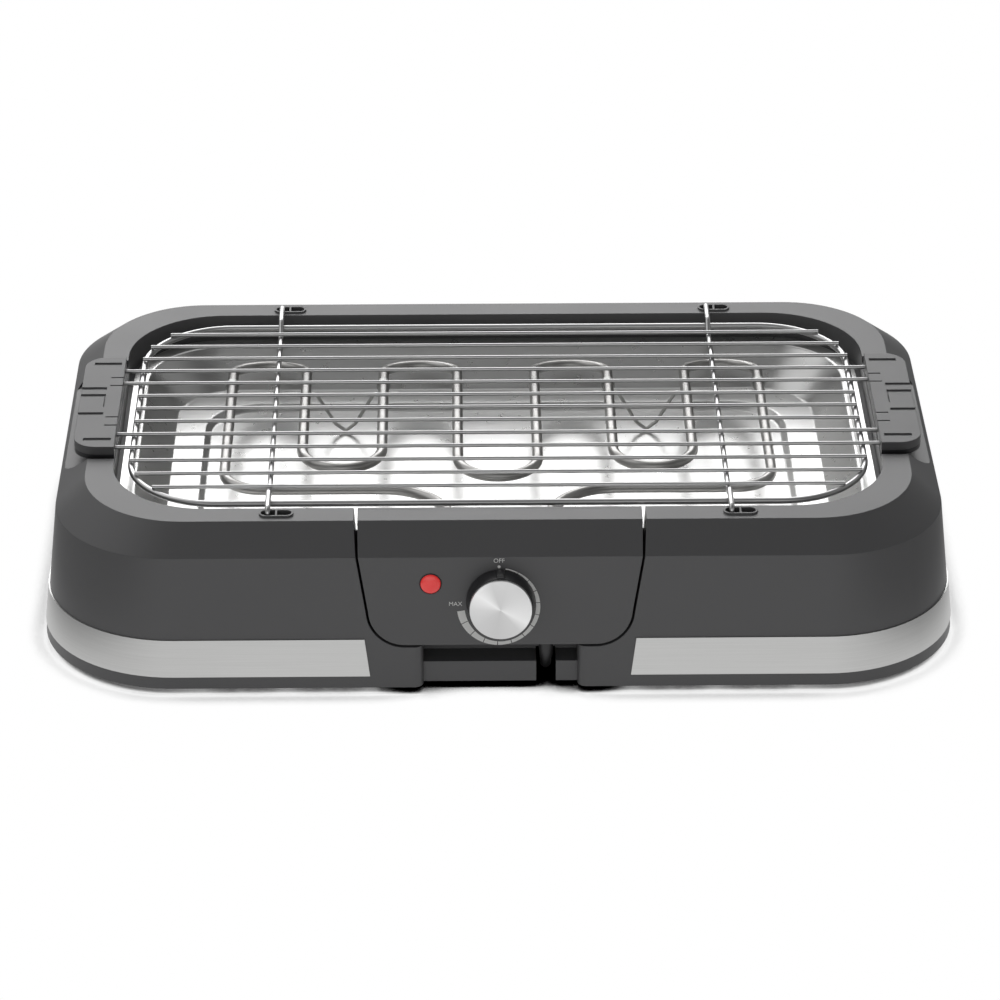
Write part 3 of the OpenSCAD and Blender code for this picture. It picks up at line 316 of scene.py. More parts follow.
@dataclass(frozen=True)
class Brushed(Finish):
    """Stainless sheet brushed lengthwise: fine scratches along the sheet stretch the highlights across it."""

    scratch_mm: float = 0.5
    length_mm: float = 60.0
    dark: float = 0.86
    light: float = 1.12

    def detail(self, tree: Tree, surface: Node, place: Socket) -> None:
        """Adds the scratches, which run level round the sheet.

        Args:
            tree: The material's nodes.
            surface: Its shader.
            place: Object coordinates, in metres.
        """
        along, across = 1 / (self.length_mm * MM), 1 / (self.scratch_mm * MM)
        stretched = add_node(tree, "Mapping", inputs={"Vector": place, "Scale": (along, along, across)})
        scratch = add_node(
            tree, "TexNoise",
            inputs={"Vector": stretched.outputs[0], "Scale": 1.0, "Detail": 5.0, "Roughness": 0.65},
        ).outputs["Fac"]
        low, high = (
            (*(min(1.0, share * c) for c in linear(self.colour)[:3]), 1.0) for share in (self.dark, self.light)
        )
        tint = add_node(tree, "Mix", {"data_type": "RGBA"}, {"Factor": scratch, "A": low, "B": high})
        tree.links.new(tint.outputs["Result"], surface.inputs["Base Color"])
        add_node(
            tree, "MapRange", None,
            {"Value": scratch, "To Min": self.roughness - 0.06, "To Max": self.roughness + 0.08},
            surface.inputs["Roughness"],
        )
        add_node(
            tree, "Bump", None, {"Strength": 0.25, "Distance": 0.01 * MM, "Height": scratch},
            surface.inputs["Normal"],
        )


@dataclass(frozen=True)
class Pressed(Finish):
    """Bright-rolled sheet after deep drawing: glossy, with a very slow waviness and faint wiping marks."""

    wave_mm: float = 70.0
    mark_mm: float = 8.0

    def detail(self, tree: Tree, surface: Node, place: Socket) -> None:
        """Adds the waviness and the marks.

        Args:
            tree: The material's nodes.
            surface: Its shader.
            place: Object coordinates, in metres.
        """
        wave = add_node(tree, "TexNoise", inputs={"Vector": place, "Scale": 1 / (self.wave_mm * MM), "Detail": 1.0})
        add_node(
            tree, "Bump", None, {"Strength": 0.5, "Distance": 0.3 * MM, "Height": wave.outputs["Fac"]},
            surface.inputs["Normal"],
        )
        marks = add_node(tree, "TexNoise", inputs={"Vector": place, "Scale": 1 / (self.mark_mm * MM), "Detail": 6.0})
        spread = {"From Min": 0.3, "From Max": 0.8, "To Min": self.roughness, "To Max": self.roughness + 0.05}
        add_node(tree, "MapRange", None, {"Value": marks.outputs["Fac"], **spread}, surface.inputs["Roughness"])


@dataclass(frozen=True)
class Turned(Finish):
    """Aluminium faced on a lathe: rings of fine tool marks, and painted highlights and painted shade that alternate
    round its axis.
    """

    middle: Triple = (0.0, 0.0, 0.0)
    lean_deg: float = 0.0
    ring_mm: float = 1.4
    # Part of a turn, and the grey painted there: painted highlights where lighter, painted shade where darker
    painted_highlight_sectors: tuple[Pair, ...] = (
        (0.0, 0.74), (0.10, 0.66), (0.22, 0.62), (0.36, 0.68), (0.42, 0.92), (0.50, 0.84),
        (0.60, 0.76), (0.72, 0.68), (0.80, 0.66), (0.90, 0.96), (1.0, 0.74),
    )

    def detail(self, tree: Tree, surface: Node, place: Socket) -> None:
        """Adds the painted highlights and painted shade round the axis, and the rings.

        Args:
            tree: The material's nodes.
            surface: Its shader.
            place: Object coordinates, in metres.
        """
        centred = add_node(tree, "VectorMath", {"operation": "SUBTRACT"}, {0: place, 1: self.middle})
        turn = (math.radians(self.lean_deg - 90), 0.0, 0.0)
        flat = add_node(tree, "Mapping", inputs={"Vector": centred.outputs[0], "Rotation": turn}).outputs[0]
        # Painted highlights: a fixed grey ramp round the face's axis feeds the base colour
        sweep = add_node(tree, "TexGradient", {"gradient_type": "RADIAL"}, {"Vector": flat})
        painted_highlight_fan = add_node(tree, "ValToRGB", None, {"Fac": sweep.outputs["Fac"]}, surface.inputs["Base Color"])
        set_ramp(painted_highlight_fan, self.painted_highlight_sectors)
        rings = add_node(
            tree, "TexWave", {"wave_type": "RINGS", "rings_direction": "Z"},
            {"Vector": flat, "Scale": 1 / (self.ring_mm * MM), "Distortion": 0.4},
        )
        add_node(
            tree, "Bump", None, {"Strength": 0.12, "Distance": 0.01 * MM, "Height": rings.outputs["Fac"]},
            surface.inputs["Normal"],
        )


@dataclass(frozen=True)
class Lens(Finish):
    """Clear tinted acrylic with a lamp behind, which gives no light: a clear coat over a colour that is paler in
    places, and a painted glow.
    """

    pale: str = "ff5652"
    rib_mm: float = 6.0

    def detail(self, tree: Tree, surface: Node, place: Socket) -> None:
        """Sets the clear coat and a slight painted glow of the colour.

        Args:
            tree: The material's nodes.
            surface: Its shader.
            place: Object coordinates, in metres.
        """
        ribs = add_node(tree, "TexNoise", inputs={"Vector": place, "Scale": 1 / (self.rib_mm * MM), "Detail": 1.0})
        tint = add_node(
            tree, "Mix", {"data_type": "RGBA"},
            {"Factor": ribs.outputs["Fac"], "A": linear(self.colour), "B": linear(self.pale)},
        )
        tree.links.new(tint.outputs["Result"], surface.inputs["Base Color"])
        surface.inputs["Coat Weight"].default_value = 0.35
        surface.inputs["Coat Roughness"].default_value = 0.08
        # Painted glow: the lens emits its own colour, though the lamp behind it is unlit
        surface.inputs["Emission Color"].default_value = linear(self.colour)
        surface.inputs["Emission Strength"].default_value = 0.2


# Talc-filled polypropylene, dark grey, from a fine-textured mould
BODY_PLASTIC = Moulded("moulded_polypropylene_grey", "body", "565657", 0.42)
# The grips' upper halves, from the same plastic as the body, its grey a little darker as painted shade
GRIP_PLASTIC_PAINTED_SHADE = Moulded("moulded_grip_painted_shade", "body", "515152", 0.45)
# Glass-filled nylon, near black, a little glossier
BLACK_PLASTIC = Moulded("moulded_nylon_black", "black_plastic", "29292b", 0.36, grain_depth_mm=0.01)
# Ferritic stainless sheet, brushed lengthwise
BAND_STEEL = Brushed("brushed_stainless_band", "band_steel", "bfbfbe", 0.34, 1.0)
# Bright-rolled stainless sheet, deep drawn
TRAY_STEEL = Pressed("polished_stainless_tray", "tray_steel", "dededd", 0.27, 1.0)
# Heater tube of nickel alloy, bright annealed
HEATER_TUBE = Brushed("annealed_heater_tube", "element_metal", "b4b3b1", 0.32, 1.0, scratch_mm=2.0, length_mm=25.0)
# Steel wire, nickel and chromium plated
CHROME_WIRE = Finish("chromed_wire", "wire_chrome", "c6c6c6", 0.3, 1.0)
# Plain drawn wire under the heater: duller than the chromed grid
SUPPORT_WIRE = Finish("drawn_steel_wire", "wire_chrome", "d6d6d4", 0.42, 1.0)
# Zinc-plated steel of screws and cans
ZINC_STEEL = Finish("zinc_plated_steel", "steel_parts", "b9bab8", 0.38, 1.0)
BRASS = Finish("turned_brass", "brass_parts", "c9a35a", 0.3, 1.0)
STEATITE = Finish("steatite_ceramic", "ceramic_parts", "e6e1d3", 0.6)
SILICONE = Finish("silicone_sleeve", "wire_sleeve", "33406e", 0.5)
LAMP_GLASS = Finish("neon_lamp_glass", "lamp_glass", "e8b48c", 0.08)
RED_LENS = Lens("red_acrylic_lens", "lens_red", "f01c1c", 0.2)
# Rubber-like cable sheath, matt black
SHEATH = Finish("cable_sheath_black", "rubber", "232324", 0.55)
# Pad-printed white ink
INK = Finish("white_pad_print", "body", "e9e9e7", 0.5)


# ---- making pieces


def shown(name: str, data: bpy.types.ID) -> Piece:
    """Makes an object of a mesh, curve, lamp or camera and links it to the scene."""
    made = bpy.data.objects.new(name, data)
    bpy.context.scene.collection.objects.link(made)
    return made


def collect(name: str, bm: Mesh, sharp_deg: float = 35.0, turn_out: bool = True) -> Piece:
    """Ends a bmesh as an object at the origin, smooth but for its sharp edges.

    Args:
        name: The piece's name.
        bm: The mesh, which is freed.
        sharp_deg: Edges bent more than this stay sharp.
        turn_out: Whether the faces are turned outwards.

    Returns:
        The object.
    """
    bmesh.ops.remove_doubles(bm, verts=bm.verts, dist=0.002 * MM)
    if turn_out:
        bmesh.ops.recalc_face_normals(bm, faces=bm.faces)
    for face in bm.faces:
        face.smooth = True
    for edge in bm.edges:
        edge.smooth = len(edge.link_faces) == 2 and edge.calc_face_angle(0.0) < math.radians(sharp_deg)
    mesh = bpy.data.meshes.new(name)
    bm.to_mesh(mesh)
    bm.free()
    return shown(name, mesh)


def tube(name: str, lines: Sequence[Line], radius: float, sides: int = 6, closed: bool = False) -> Piece:
    """A round bar, wire or cable along one or several lines.

    Args:
        name: The piece's name.
        lines: The centre lines, in metres.
        radius: Radius in millimetres.
        sides: The curve's bevel resolution.
        closed: Whether each line closes on itself.

    Returns:
        A curve object.
    """
    curve = bpy.data.curves.new(name, "CURVE")
    curve.dimensions = "3D"
    curve.bevel_depth = radius * MM
    curve.bevel_resolution = sides
    curve.use_fill_caps = not closed
    for line in lines:
        spline = curve.splines.new("POLY")
        spline.points.add(len(line) - 1)
        for point, place in zip(spline.points, line):
            point.co = (*place, 1.0)
        spline.use_cyclic_u = closed
        spline.use_smooth = True
    return shown(name, curve)


def dress(piece: Piece, finish: Finish, body: Body, stands_for: Iterable[str] = ()) -> Piece:
    """Gives a piece its material, its body and the solids that it stands for.

    Args:
        piece: The finished object.
        finish: What it is made of.
        body: The body that it rides on.
        stands_for: Names of the solids that it replaces.

    Returns:
        The same object.
    """
    piece.data.materials.clear()
    piece.data.materials.append(finish.material())
    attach(piece, body.value)
    nodes = list(stands_for)
    if nodes:
        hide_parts(*nodes)
    LOG.info("piece %s: %s, rides on %s, for %s", piece.name, finish.name, body.value, nodes or "itself")
    return piece


def softened_copy(node: str, name: str, sharp_deg: float = 25.0) -> Piece:
    """Copies a solid, joins its loose triangles and shades its curved faces smooth.

    Args:
        node: The solid's name.
        name: The copy's name.
        sharp_deg: Edges bent more than this stay sharp.

    Returns:
        The copy.
    """
    bm = bmesh.new()
    bm.from_mesh(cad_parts[node].data)
    bmesh.ops.remove_doubles(bm, verts=bm.verts, dist=0.004 * MM)
    bmesh.ops.dissolve_limit(bm, angle_limit=math.radians(0.4), verts=bm.verts, edges=bm.edges, delimit={"NORMAL"})
    return collect(name, bm, sharp_deg, turn_out=False)


def dress_copy(node: str, name: str, finish: Finish, body: Body, sharp_deg: float = 25.0) -> None:
    """Puts a softened and dressed copy in a solid's place.

    Args:
        node: The solid's name.
        name: The copy's name.
        finish: What it is made of.
        body: The body that it rides on.
        sharp_deg: Edges bent more than this stay sharp.
    """
    dress(softened_copy(node, name, sharp_deg), finish, body, [node])


def rounded_loop(bm: Mesh, middle: Vector, across: Vector, along: Vector, radius: float, steps: int) -> Edges:
    """Draws a rounded rectangle as a closed loop of edges.

    Args:
        bm: The mesh to draw in.
        middle: Its middle, in metres.
        across: From the middle to the middle of one side.
        along: From the middle to the middle of the next side.
        radius: Radius of its corners, in metres.
        steps: Steps in each corner.

    Returns:
        The loop's edges.
    """
    before = set(bm.faces)
    corners = bmesh.ops.create_grid(bm, x_segments=1, y_segments=1, size=1.0)["verts"]
    for corner in corners:
        corner.co = middle + math.copysign(1, corner.co.x) * across + math.copysign(1, corner.co.y) * along
    bmesh.ops.bevel(
        bm, geom=corners, offset=radius, offset_type="OFFSET", segments=steps, profile=0.5,
        affect="VERTICES", clamp_overlap=False, material=-1,
    )
    drawn = [face for face in bm.faces if face not in before]
    edges = list({edge for face in drawn for edge in face.edges})
    bmesh.ops.delete(bm, geom=drawn, context="FACES_ONLY")
    return edges


@dataclass(frozen=True)
class Outline:
    """A rounded rectangle at one height: half sizes, corner radius and height in millimetres."""

    half_x: float
    half_y: float
    radius: float
    height: float

    def draw(self, bm: Mesh, steps: int = 14) -> Edges:
        """Draws the outline as a closed loop of edges.

        Args:
            bm: The mesh to draw in.
            steps: Steps in each corner.

        Returns:
            The loop's edges.
        """
        across, along = Vector((self.half_x * MM, 0, 0)), Vector((0, self.half_y * MM, 0))
        return rounded_loop(bm, at(0, 0, self.height), across, along, self.radius * MM, steps)


def loft(bm: Mesh, outlines: Sequence[Outline]) -> None:
    """Skins a row of outlines and fills the last one.

    Args:
        bm: The mesh to build in.
        outlines: The outlines, in order.
    """
    last = outlines[0].draw(bm)
    for outline in outlines[1:]:
        edges = outline.draw(bm)
        bmesh.ops.bridge_loops(bm, edges=last + edges)
        last = edges
    bmesh.ops.edgeloop_fill(bm, edges=last)


def revolve(bm: Mesh, profile: Sequence[Pair], place: Matrix, steps: int = 96) -> None:
    """Turns a profile about the local Z axis and sets it in place.

    Args:
        bm: The mesh to build in.
        profile: Radius and height of each point, in millimetres, from the axis to the axis or not.
        place: Where the local axes go, in metres.
        steps: Steps round the axis.
    """
    before = set(bm.verts)
    verts = [bm.verts.new((radius * MM, 0.0, height * MM)) for radius, height in profile]
    edges = [bm.edges.new(pair) for pair in zip(verts, verts[1:])]
    bmesh.ops.spin(
        bm, geom=verts + edges, cent=(0, 0, 0), axis=(0, 0, 1), angle=math.tau, steps=steps,
        use_merge=True, use_normal_flip=False, use_duplicate=False,
    )
    drawn = [vert for vert in bm.verts if vert not in before]
    bmesh.ops.transform(bm, matrix=place, verts=drawn)
    bmesh.ops.remove_doubles(bm, verts=drawn, dist=0.002 * MM)


def block(bm: Mesh, low: Sequence[float], high: Sequence[float], soft: float, place: Matrix) -> None:
    """Adds a block with rounded edges.

    Args:
        bm: The mesh to build in.
        low: Its lowest corner in local millimetres.
        high: Its highest corner.
        soft: Radius of its edges in millimetres.
        place: Where the local axes go, in metres.
    """
    middle = Vector((a + b) / 2 * MM for a, b in zip(low, high))
    size = [(b - a) * MM for a, b in zip(low, high)]
    made = bmesh.ops.create_cube(
        bm, size=1.0, matrix=place @ Matrix.Translation(middle) @ Matrix.Diagonal((*size, 1.0))
    )["verts"]
    edges = list({edge for vert in made for edge in vert.link_edges})
    bmesh.ops.bevel(
        bm, geom=edges, offset=soft * MM, offset_type="OFFSET", segments=3, profile=0.5,
        affect="EDGES", clamp_overlap=True, material=-1,
    )


# ---- the studio


@dataclass
class Studio:
    """Camera, pale floor, white surroundings and soft lamps."""

    camera_place: Triple = (-28.6, -2330.0, 1268.9)
    look_along: Triple = (0.01157, 0.88385, -0.46762)
    focal_mm: float = 154.55
    sensor_mm: float = 36.0
    floor_half: float = 6.0
    floor_grey: float = 0.88
    # How far the floor looks for what stands on it, in metres, and how open it is where black and where white
    shadow_reach: float = 0.03
    shadow_from: float = 0.56
    shadow_to: float = 0.78
    # Half the width of the white floor that reflections show, in metres, and what is left beyond it
    mirror_half: float = 0.27
    mirror_fade: float = 0.09
    mirror_left: float = 0.3
    # Height above the horizon, as the sine of its angle, and the brightness there
    back_sky: tuple[Pair, ...] = ((0.0, 0.95), (0.6, 0.9), (0.85, 0.75), (1.0, 0.4))
    front_sky: tuple[Pair, ...] = ((0.0, 1.55), (0.25, 1.2), (0.5, 0.45), (0.78, 0.3), (0.88, 0.09), (1.0, 0.07))
    # Way from left to right, nought to one, and what is left of the brightness there
    side_shade: tuple[Pair, ...] = ((0.17, 0.3), (0.35, 1.0), (0.57, 1.0), (0.75, 0.3))
    # Name, place in millimetres, width and height in metres, and watts
    boxes: tuple[tuple[str, Triple, float, float, float], ...] = (
        ("back_box", (-350.0, 2500.0, 1400.0), 2.6, 1.5, 32.0),
        ("left_box", (-1100.0, 100.0, 1300.0), 1.4, 1.4, 4.0),
    )

    def build(self) -> None:
        """Sets up the camera, the floor, the world and the lamps."""
        self.camera()
        self.floor()
        self.world()
        self.lamps()
        bpy.context.scene.view_settings.view_transform = "Standard"

    def camera(self) -> None:
        """Places the camera as the photograph's was."""
        data = bpy.data.cameras.new("photo_camera")
        data.lens = self.focal_mm
        data.sensor_width = self.sensor_mm
        data.sensor_fit = "HORIZONTAL"
        data.clip_end = 50.0
        camera = shown("photo_camera", data)
        camera.location = at(*self.camera_place)
        camera.rotation_euler = Vector(self.look_along).to_track_quat("-Z", "Y").to_euler()
        bpy.context.scene.camera = camera

    def floor(self) -> None:
        """Lays the pale floor: white to the camera and in reflections, but for the shadow on it."""
        bm = bmesh.new()
        bmesh.ops.create_grid(bm, x_segments=1, y_segments=1, size=self.floor_half)
        floor = collect("studio_floor", bm, turn_out=False)
        made = bpy.data.materials.new("white_studio_floor")
        tree = cleared(made)
        matt = add_node(tree, "BsdfDiffuse", inputs={"Color": (*(self.floor_grey,) * 3, 1.0)})
        # How open the floor is to the light, which darkens it under and beside the object
        opened = add_node(tree, "AmbientOcclusion", {"samples": 32}, {"Distance": self.shadow_reach})
        shade = add_node(
            tree, "MapRange", {"interpolation_type": "SMOOTHSTEP"},
            {"Value": opened.outputs["AO"], "From Min": self.shadow_from, "From Max": self.shadow_to},
        )
        # In reflections the white paper ends a little beside the object, so that the ends of the walls stay dark
        place = add_node(tree, "TexCoord").outputs["Object"]
        parts = add_node(tree, "SeparateXYZ", inputs={0: place})
        across = add_node(tree, "Math", {"operation": "ABSOLUTE"}, {0: parts.outputs["X"]})
        ends = {"From Min": self.mirror_half, "From Max": self.mirror_half + self.mirror_fade}
        paper = add_node(
            tree, "MapRange", {"interpolation_type": "SMOOTHSTEP"},
            {"Value": across.outputs[0], **ends, "To Min": 1.0, "To Max": self.mirror_left},
        )
        way = add_node(tree, "LightPath").outputs
        larger, times = {"operation": "MAXIMUM"}, {"operation": "MULTIPLY"}
        direct = add_node(tree, "Math", larger, {0: paper.outputs[0], 1: way["Is Camera Ray"]})
        light = add_node(tree, "Math", times, {0: shade.outputs[0], 1: direct.outputs[0]})
        glow = add_node(tree, "Emission", inputs={"Color": (1, 1, 1, 1), "Strength": light.outputs[0]})
        # The glow is for what the camera, a reflection or a view through glass shows; it gives no light
        mirrored = add_node(tree, "Math", larger, {0: way["Is Glossy Ray"], 1: way["Is Transmission Ray"]})
        seen = add_node(tree, "Math", larger, {0: mirrored.outputs[0], 1: way["Is Camera Ray"]})
        mix = add_node(tree, "MixShader", inputs={0: seen.outputs[0], 1: matt.outputs[0], 2: glow.outputs[0]})
        add_node(tree, "OutputMaterial", inputs={"Surface": mix.outputs[0]})
        floor.data.materials.append(made)

    def world(self) -> None:
        """White to the camera; to the object a bright backdrop and horizon under a dark ceiling."""
        world = bpy.data.worlds.new("white_studio")
        bpy.context.scene.world = world
        tree = cleared(world)
        way = add_node(tree, "TexCoord").outputs["Generated"]
        parts = add_node(tree, "SeparateXYZ", inputs={0: way})
        skies = []
        for stops in (self.front_sky, self.back_sky):
            ramp = add_node(tree, "ValToRGB", inputs={"Fac": parts.outputs["Z"]})
            set_ramp(ramp, stops)
            skies.append(ramp.outputs["Color"])
        depth = add_node(
            tree, "MapRange", {"interpolation_type": "SMOOTHSTEP"},
            {"Value": parts.outputs["Y"], "From Min": -0.25, "From Max": 0.1},
        )
        sky = add_node(tree, "Mix", {"data_type": "RGBA"}, {"Factor": depth.outputs[0], "A": skies[0], "B": skies[1]})
        aside = add_node(tree, "MapRange", inputs={"Value": parts.outputs["X"], "From Min": -1.0})
        shade = add_node(tree, "ValToRGB", inputs={"Fac": aside.outputs[0]})
        set_ramp(shade, self.side_shade)
        soft = add_node(
            tree, "Background", inputs={"Color": sky.outputs["Result"], "Strength": shade.outputs["Color"]}
        )
        white = add_node(tree, "Background", inputs={"Color": (1, 1, 1, 1), "Strength": 1.0})
        camera = add_node(tree, "LightPath").outputs["Is Camera Ray"]
        mix = add_node(tree, "MixShader", inputs={0: camera, 1: soft.outputs[0], 2: white.outputs[0]})
        add_node(tree, "OutputWorld", inputs={"Surface": mix.outputs[0]})

    def lamps(self) -> None:
        """Hangs a wide soft box behind, where level faces mirror it, and a weak one at the left."""
        for name, place, width, height, power in self.boxes:
            data = bpy.data.lights.new(name, "AREA")
            data.shape = "RECTANGLE"
            data.size, data.size_y = width, height
            data.energy = power
            lamp = shown(name, data)
            lamp.location = at(*place)
            lamp.rotation_euler = (at(0, 0, 60) - at(*place)).to_track_quat("-Z", "Y").to_euler()


# ---- mains cord


@dataclass
class MainsCord:
    """The cord from the relief under the control module to the coil behind the base, and its plug."""

    diameter: float = 6.4
    exit_x: float = 26.6
    drop_y: float = -160.6
    start_turn: float = 25.0
    end_run: float = 1.0
    end_gap: float = 0.1
    coil_radius: float = 44.0
    coil_y: float = 232.0
    turns: float = 1.375
    climb: float = 0.5
    relief_top: float = 42.0
    relief_radii: Pair = (5.0, 3.7)
    tail_steps: int = 14
    # Sections of the plug: distance from the coil's end, width and height, which the body counts from its own
    plug_neck: tuple[Triple, ...] = (
        (28, 7.4, 7.4), (30, 7.6, 7.6), (42, 9.4, 9.4), (47, 11.5, 11.0), (49.5, 16.0, 14.5),
    )
    plug_body: tuple[Triple, ...] = ((56, 26.0, -2.0), (62, 32.5, -0.5), (74, 33.6, -0.1), (76, 32.6, -1.0))

    def bend(self, turn: float) -> Vector:
        """Point of the bend under the module, turn degrees from straight down."""
        radius = 4 * self.diameter
        angle = math.radians(turn)
        return at(
            self.exit_x,
            self.drop_y + radius * (1 - math.cos(angle)),
            self.diameter / 2 + radius * (1 - math.sin(angle)),
        )

    def coil_point(self, turn: float) -> Vector:
        """Point of the coil after that many turns."""
        whole = 2 * self.turns + self.climb
        step = self.diameter + 0.6
        radius = self.coil_radius - step * min(turn, whole - turn)
        rise = min(1.0, max(0.0, (turn - self.turns) / self.climb))
        height = self.diameter / 2 + step * rise * rise * (3 - 2 * rise)
        angle = math.tau * turn
        middle_x = self.exit_x + self.coil_radius
        return at(middle_x - radius * math.cos(angle), self.coil_y + radius * math.sin(angle), height)

    def relief_end(self, further: float = 0.0) -> Vector:
        """Point on the straight line out of the relief, that many millimetres past its end."""
        angle = math.radians(self.start_turn)
        way = Vector((0.0, math.sin(angle), -math.cos(angle)))
        return self.bend(self.start_turn) + way * (self.end_run + further) * MM

    def route(self) -> Line:
        """The whole centre line, from the relief to the plug."""
        turns, runs = 7, 18
        points = [self.relief_end(self.end_gap), self.relief_end(self.end_gap + self.end_run)]
        points += [
            self.bend(self.start_turn + (90 - self.start_turn) * step / turns) for step in range(1, turns + 1)
        ]
        first, last = self.drop_y + 4 * self.diameter, self.coil_y - self.diameter
        points += [
            at(self.exit_x, first + (last - first) * step / runs, self.diameter / 2) for step in range(1, runs + 1)
        ]
        whole = 2 * self.turns + self.climb
        steps = round(48 * whole)
        points += [self.coil_point(whole * step / steps) for step in range(steps + 1)]
        return points

    def build(self) -> None:
        """Builds the cord, its relief and its plug."""
        route = self.route()
        end = route[-1]
        tail = [end + Vector((step * 2.0 * MM, 0, 0)) for step in range(1, self.tail_steps + 1)]
        cord = tube("mains_cord", [route + tail], self.diameter / 2, sides=6)
        dress(cord, SHEATH, Body.BASE, ["cord_run", "cord_coil"])
        pieces = [self.plug(end), *self.pins(end)]
        self.relief()

    def plug(self, end: Vector) -> Piece:
        """Builds the moulded plug body.

        Args:
            end: Where the coil ends.

        Returns:
            The plug's body.
        """
        full = 2 * end.z / MM
        sections = [*self.plug_neck, *((along, wide, full + less) for along, wide, less in self.plug_body)]
        bm = bmesh.new()
        last: Edges = []
        for along, wide, tall in sections:
            edges = rounded_loop(
                bm, end + Vector((along * MM, 0, 0)), Vector((0, wide / 2 * MM, 0)), Vector((0, 0, tall / 2 * MM)),
                min(wide, tall) * 0.42 * MM, 8,
            )
            if last:
                bmesh.ops.bridge_loops(bm, edges=last + edges)
            else:
                bmesh.ops.edgeloop_fill(bm, edges=edges)
            last = edges
        bmesh.ops.edgeloop_fill(bm, edges=last)
        return dress(collect("plug_body", bm, 60), SHEATH, Body.BASE, ["plug"])

    def pins(self, end: Vector) -> list[Piece]:
        """Builds the three brass pins.

        Args:
            end: Where the coil ends.

        Returns:
            One piece with the three pins.
        """
        lines = []
        for row in (-1, 0, 1):
            start = end + Vector((75 * MM, row * 9.5 * MM, (3.0 if row == 0 else 0.0) * MM))
            lines.append([start, start + Vector((19.5 * MM, 0, 0))])
        return [dress(tube("plug_pins", lines, 2.0), BRASS, Body.BASE)]

    def relief(self) -> None:
        """Builds the tapered relief."""
        straight = [at(self.exit_x, self.drop_y, z) for z in (self.relief_top, 39, 36, 33, 31)]
        bent = [self.bend(turn) for turn in (0, 6, 12, 18, self.start_turn)]
        line = straight + bent + [self.relief_end()]
        relief = tube("cord_relief", [line], 1.0, sides=6)
        relief.data.bevel_depth = self.relief_radii[0] * MM
        points = relief.data.splines[0].points
        for index, point in enumerate(points):
            share = index / (len(points) - 1)
            point.radius = 1 - share * (1 - self.relief_radii[1] / self.relief_radii[0])
        dress(relief, SHEATH, Body.HEATER, ["strain_relief"])


# ---- base


@dataclass
class Base:
    """The moulded housing with its steel bands, feet and screws."""

    def build(self) -> None:
        """Builds the housing, the bands and the feet."""
        for node, name, finish in (
            ("base_housing", "housing", BODY_PLASTIC),
            ("trim_left", "steel_band_left", BAND_STEEL),
            ("trim_right", "steel_band_right", BAND_STEEL),
            ("rubber_feet", "feet", SHEATH),
            ("foot_screws", "feet_screws", ZINC_STEEL),
        ):
            dress_copy(node, name, finish, Body.BASE)


# ---- drip tray


@dataclass
class DripTray:
    """The drawn tray: flange, sloping wall, shoulder and basin."""

    half_x: float = 224.9
    half_y: float = 127.7
    thickness: float = 0.8
    bend: float = 2.4
    # Distance inwards from the rim and height of each corner of the section
    profile: tuple[Pair, ...] = ((0.0, 84.8), (9.0, 84.2), (26.5, 62.0), (45.0, 61.5), (47.5, 57.5), (60.0, 57.4))
    insets: tuple[float, ...] = (0.0, 9.0, 26.5, 45.0, 47.5)
    radii: tuple[float, ...] = (54.9, 45.9, 37.2, 32.5, 31.7)

    def build(self) -> None:
        """Skins the tray's upper face and gives it its thickness."""
        corners = [Vector((inset * MM, 0.0, height * MM)) for inset, height in self.profile]
        section = rounded_path(corners, self.bend, steps=5)
        outlines = []
        for point in section:
            inset, height = point.x / MM, point.z / MM
            radius = between(inset, self.insets, self.radii)
            outlines.append(Outline(self.half_x - inset, self.half_y - inset, radius, height))
        bm = bmesh.new()
        loft(bm, outlines)
        tray = collect("drip_tray_sheet", bm, 50)
        up = sum(1 for face in tray.data.polygons if face.normal.z > 0)
        if up < len(tray.data.polygons) / 2:
            tray.data.flip_normals()
        wall = tray.modifiers.new("sheet", "SOLIDIFY")
        wall.thickness = self.thickness * MM
        wall.offset = -1.0
        dress(tray, TRAY_STEEL, Body.TRAY, ["drip_tray"])


# ---- heater


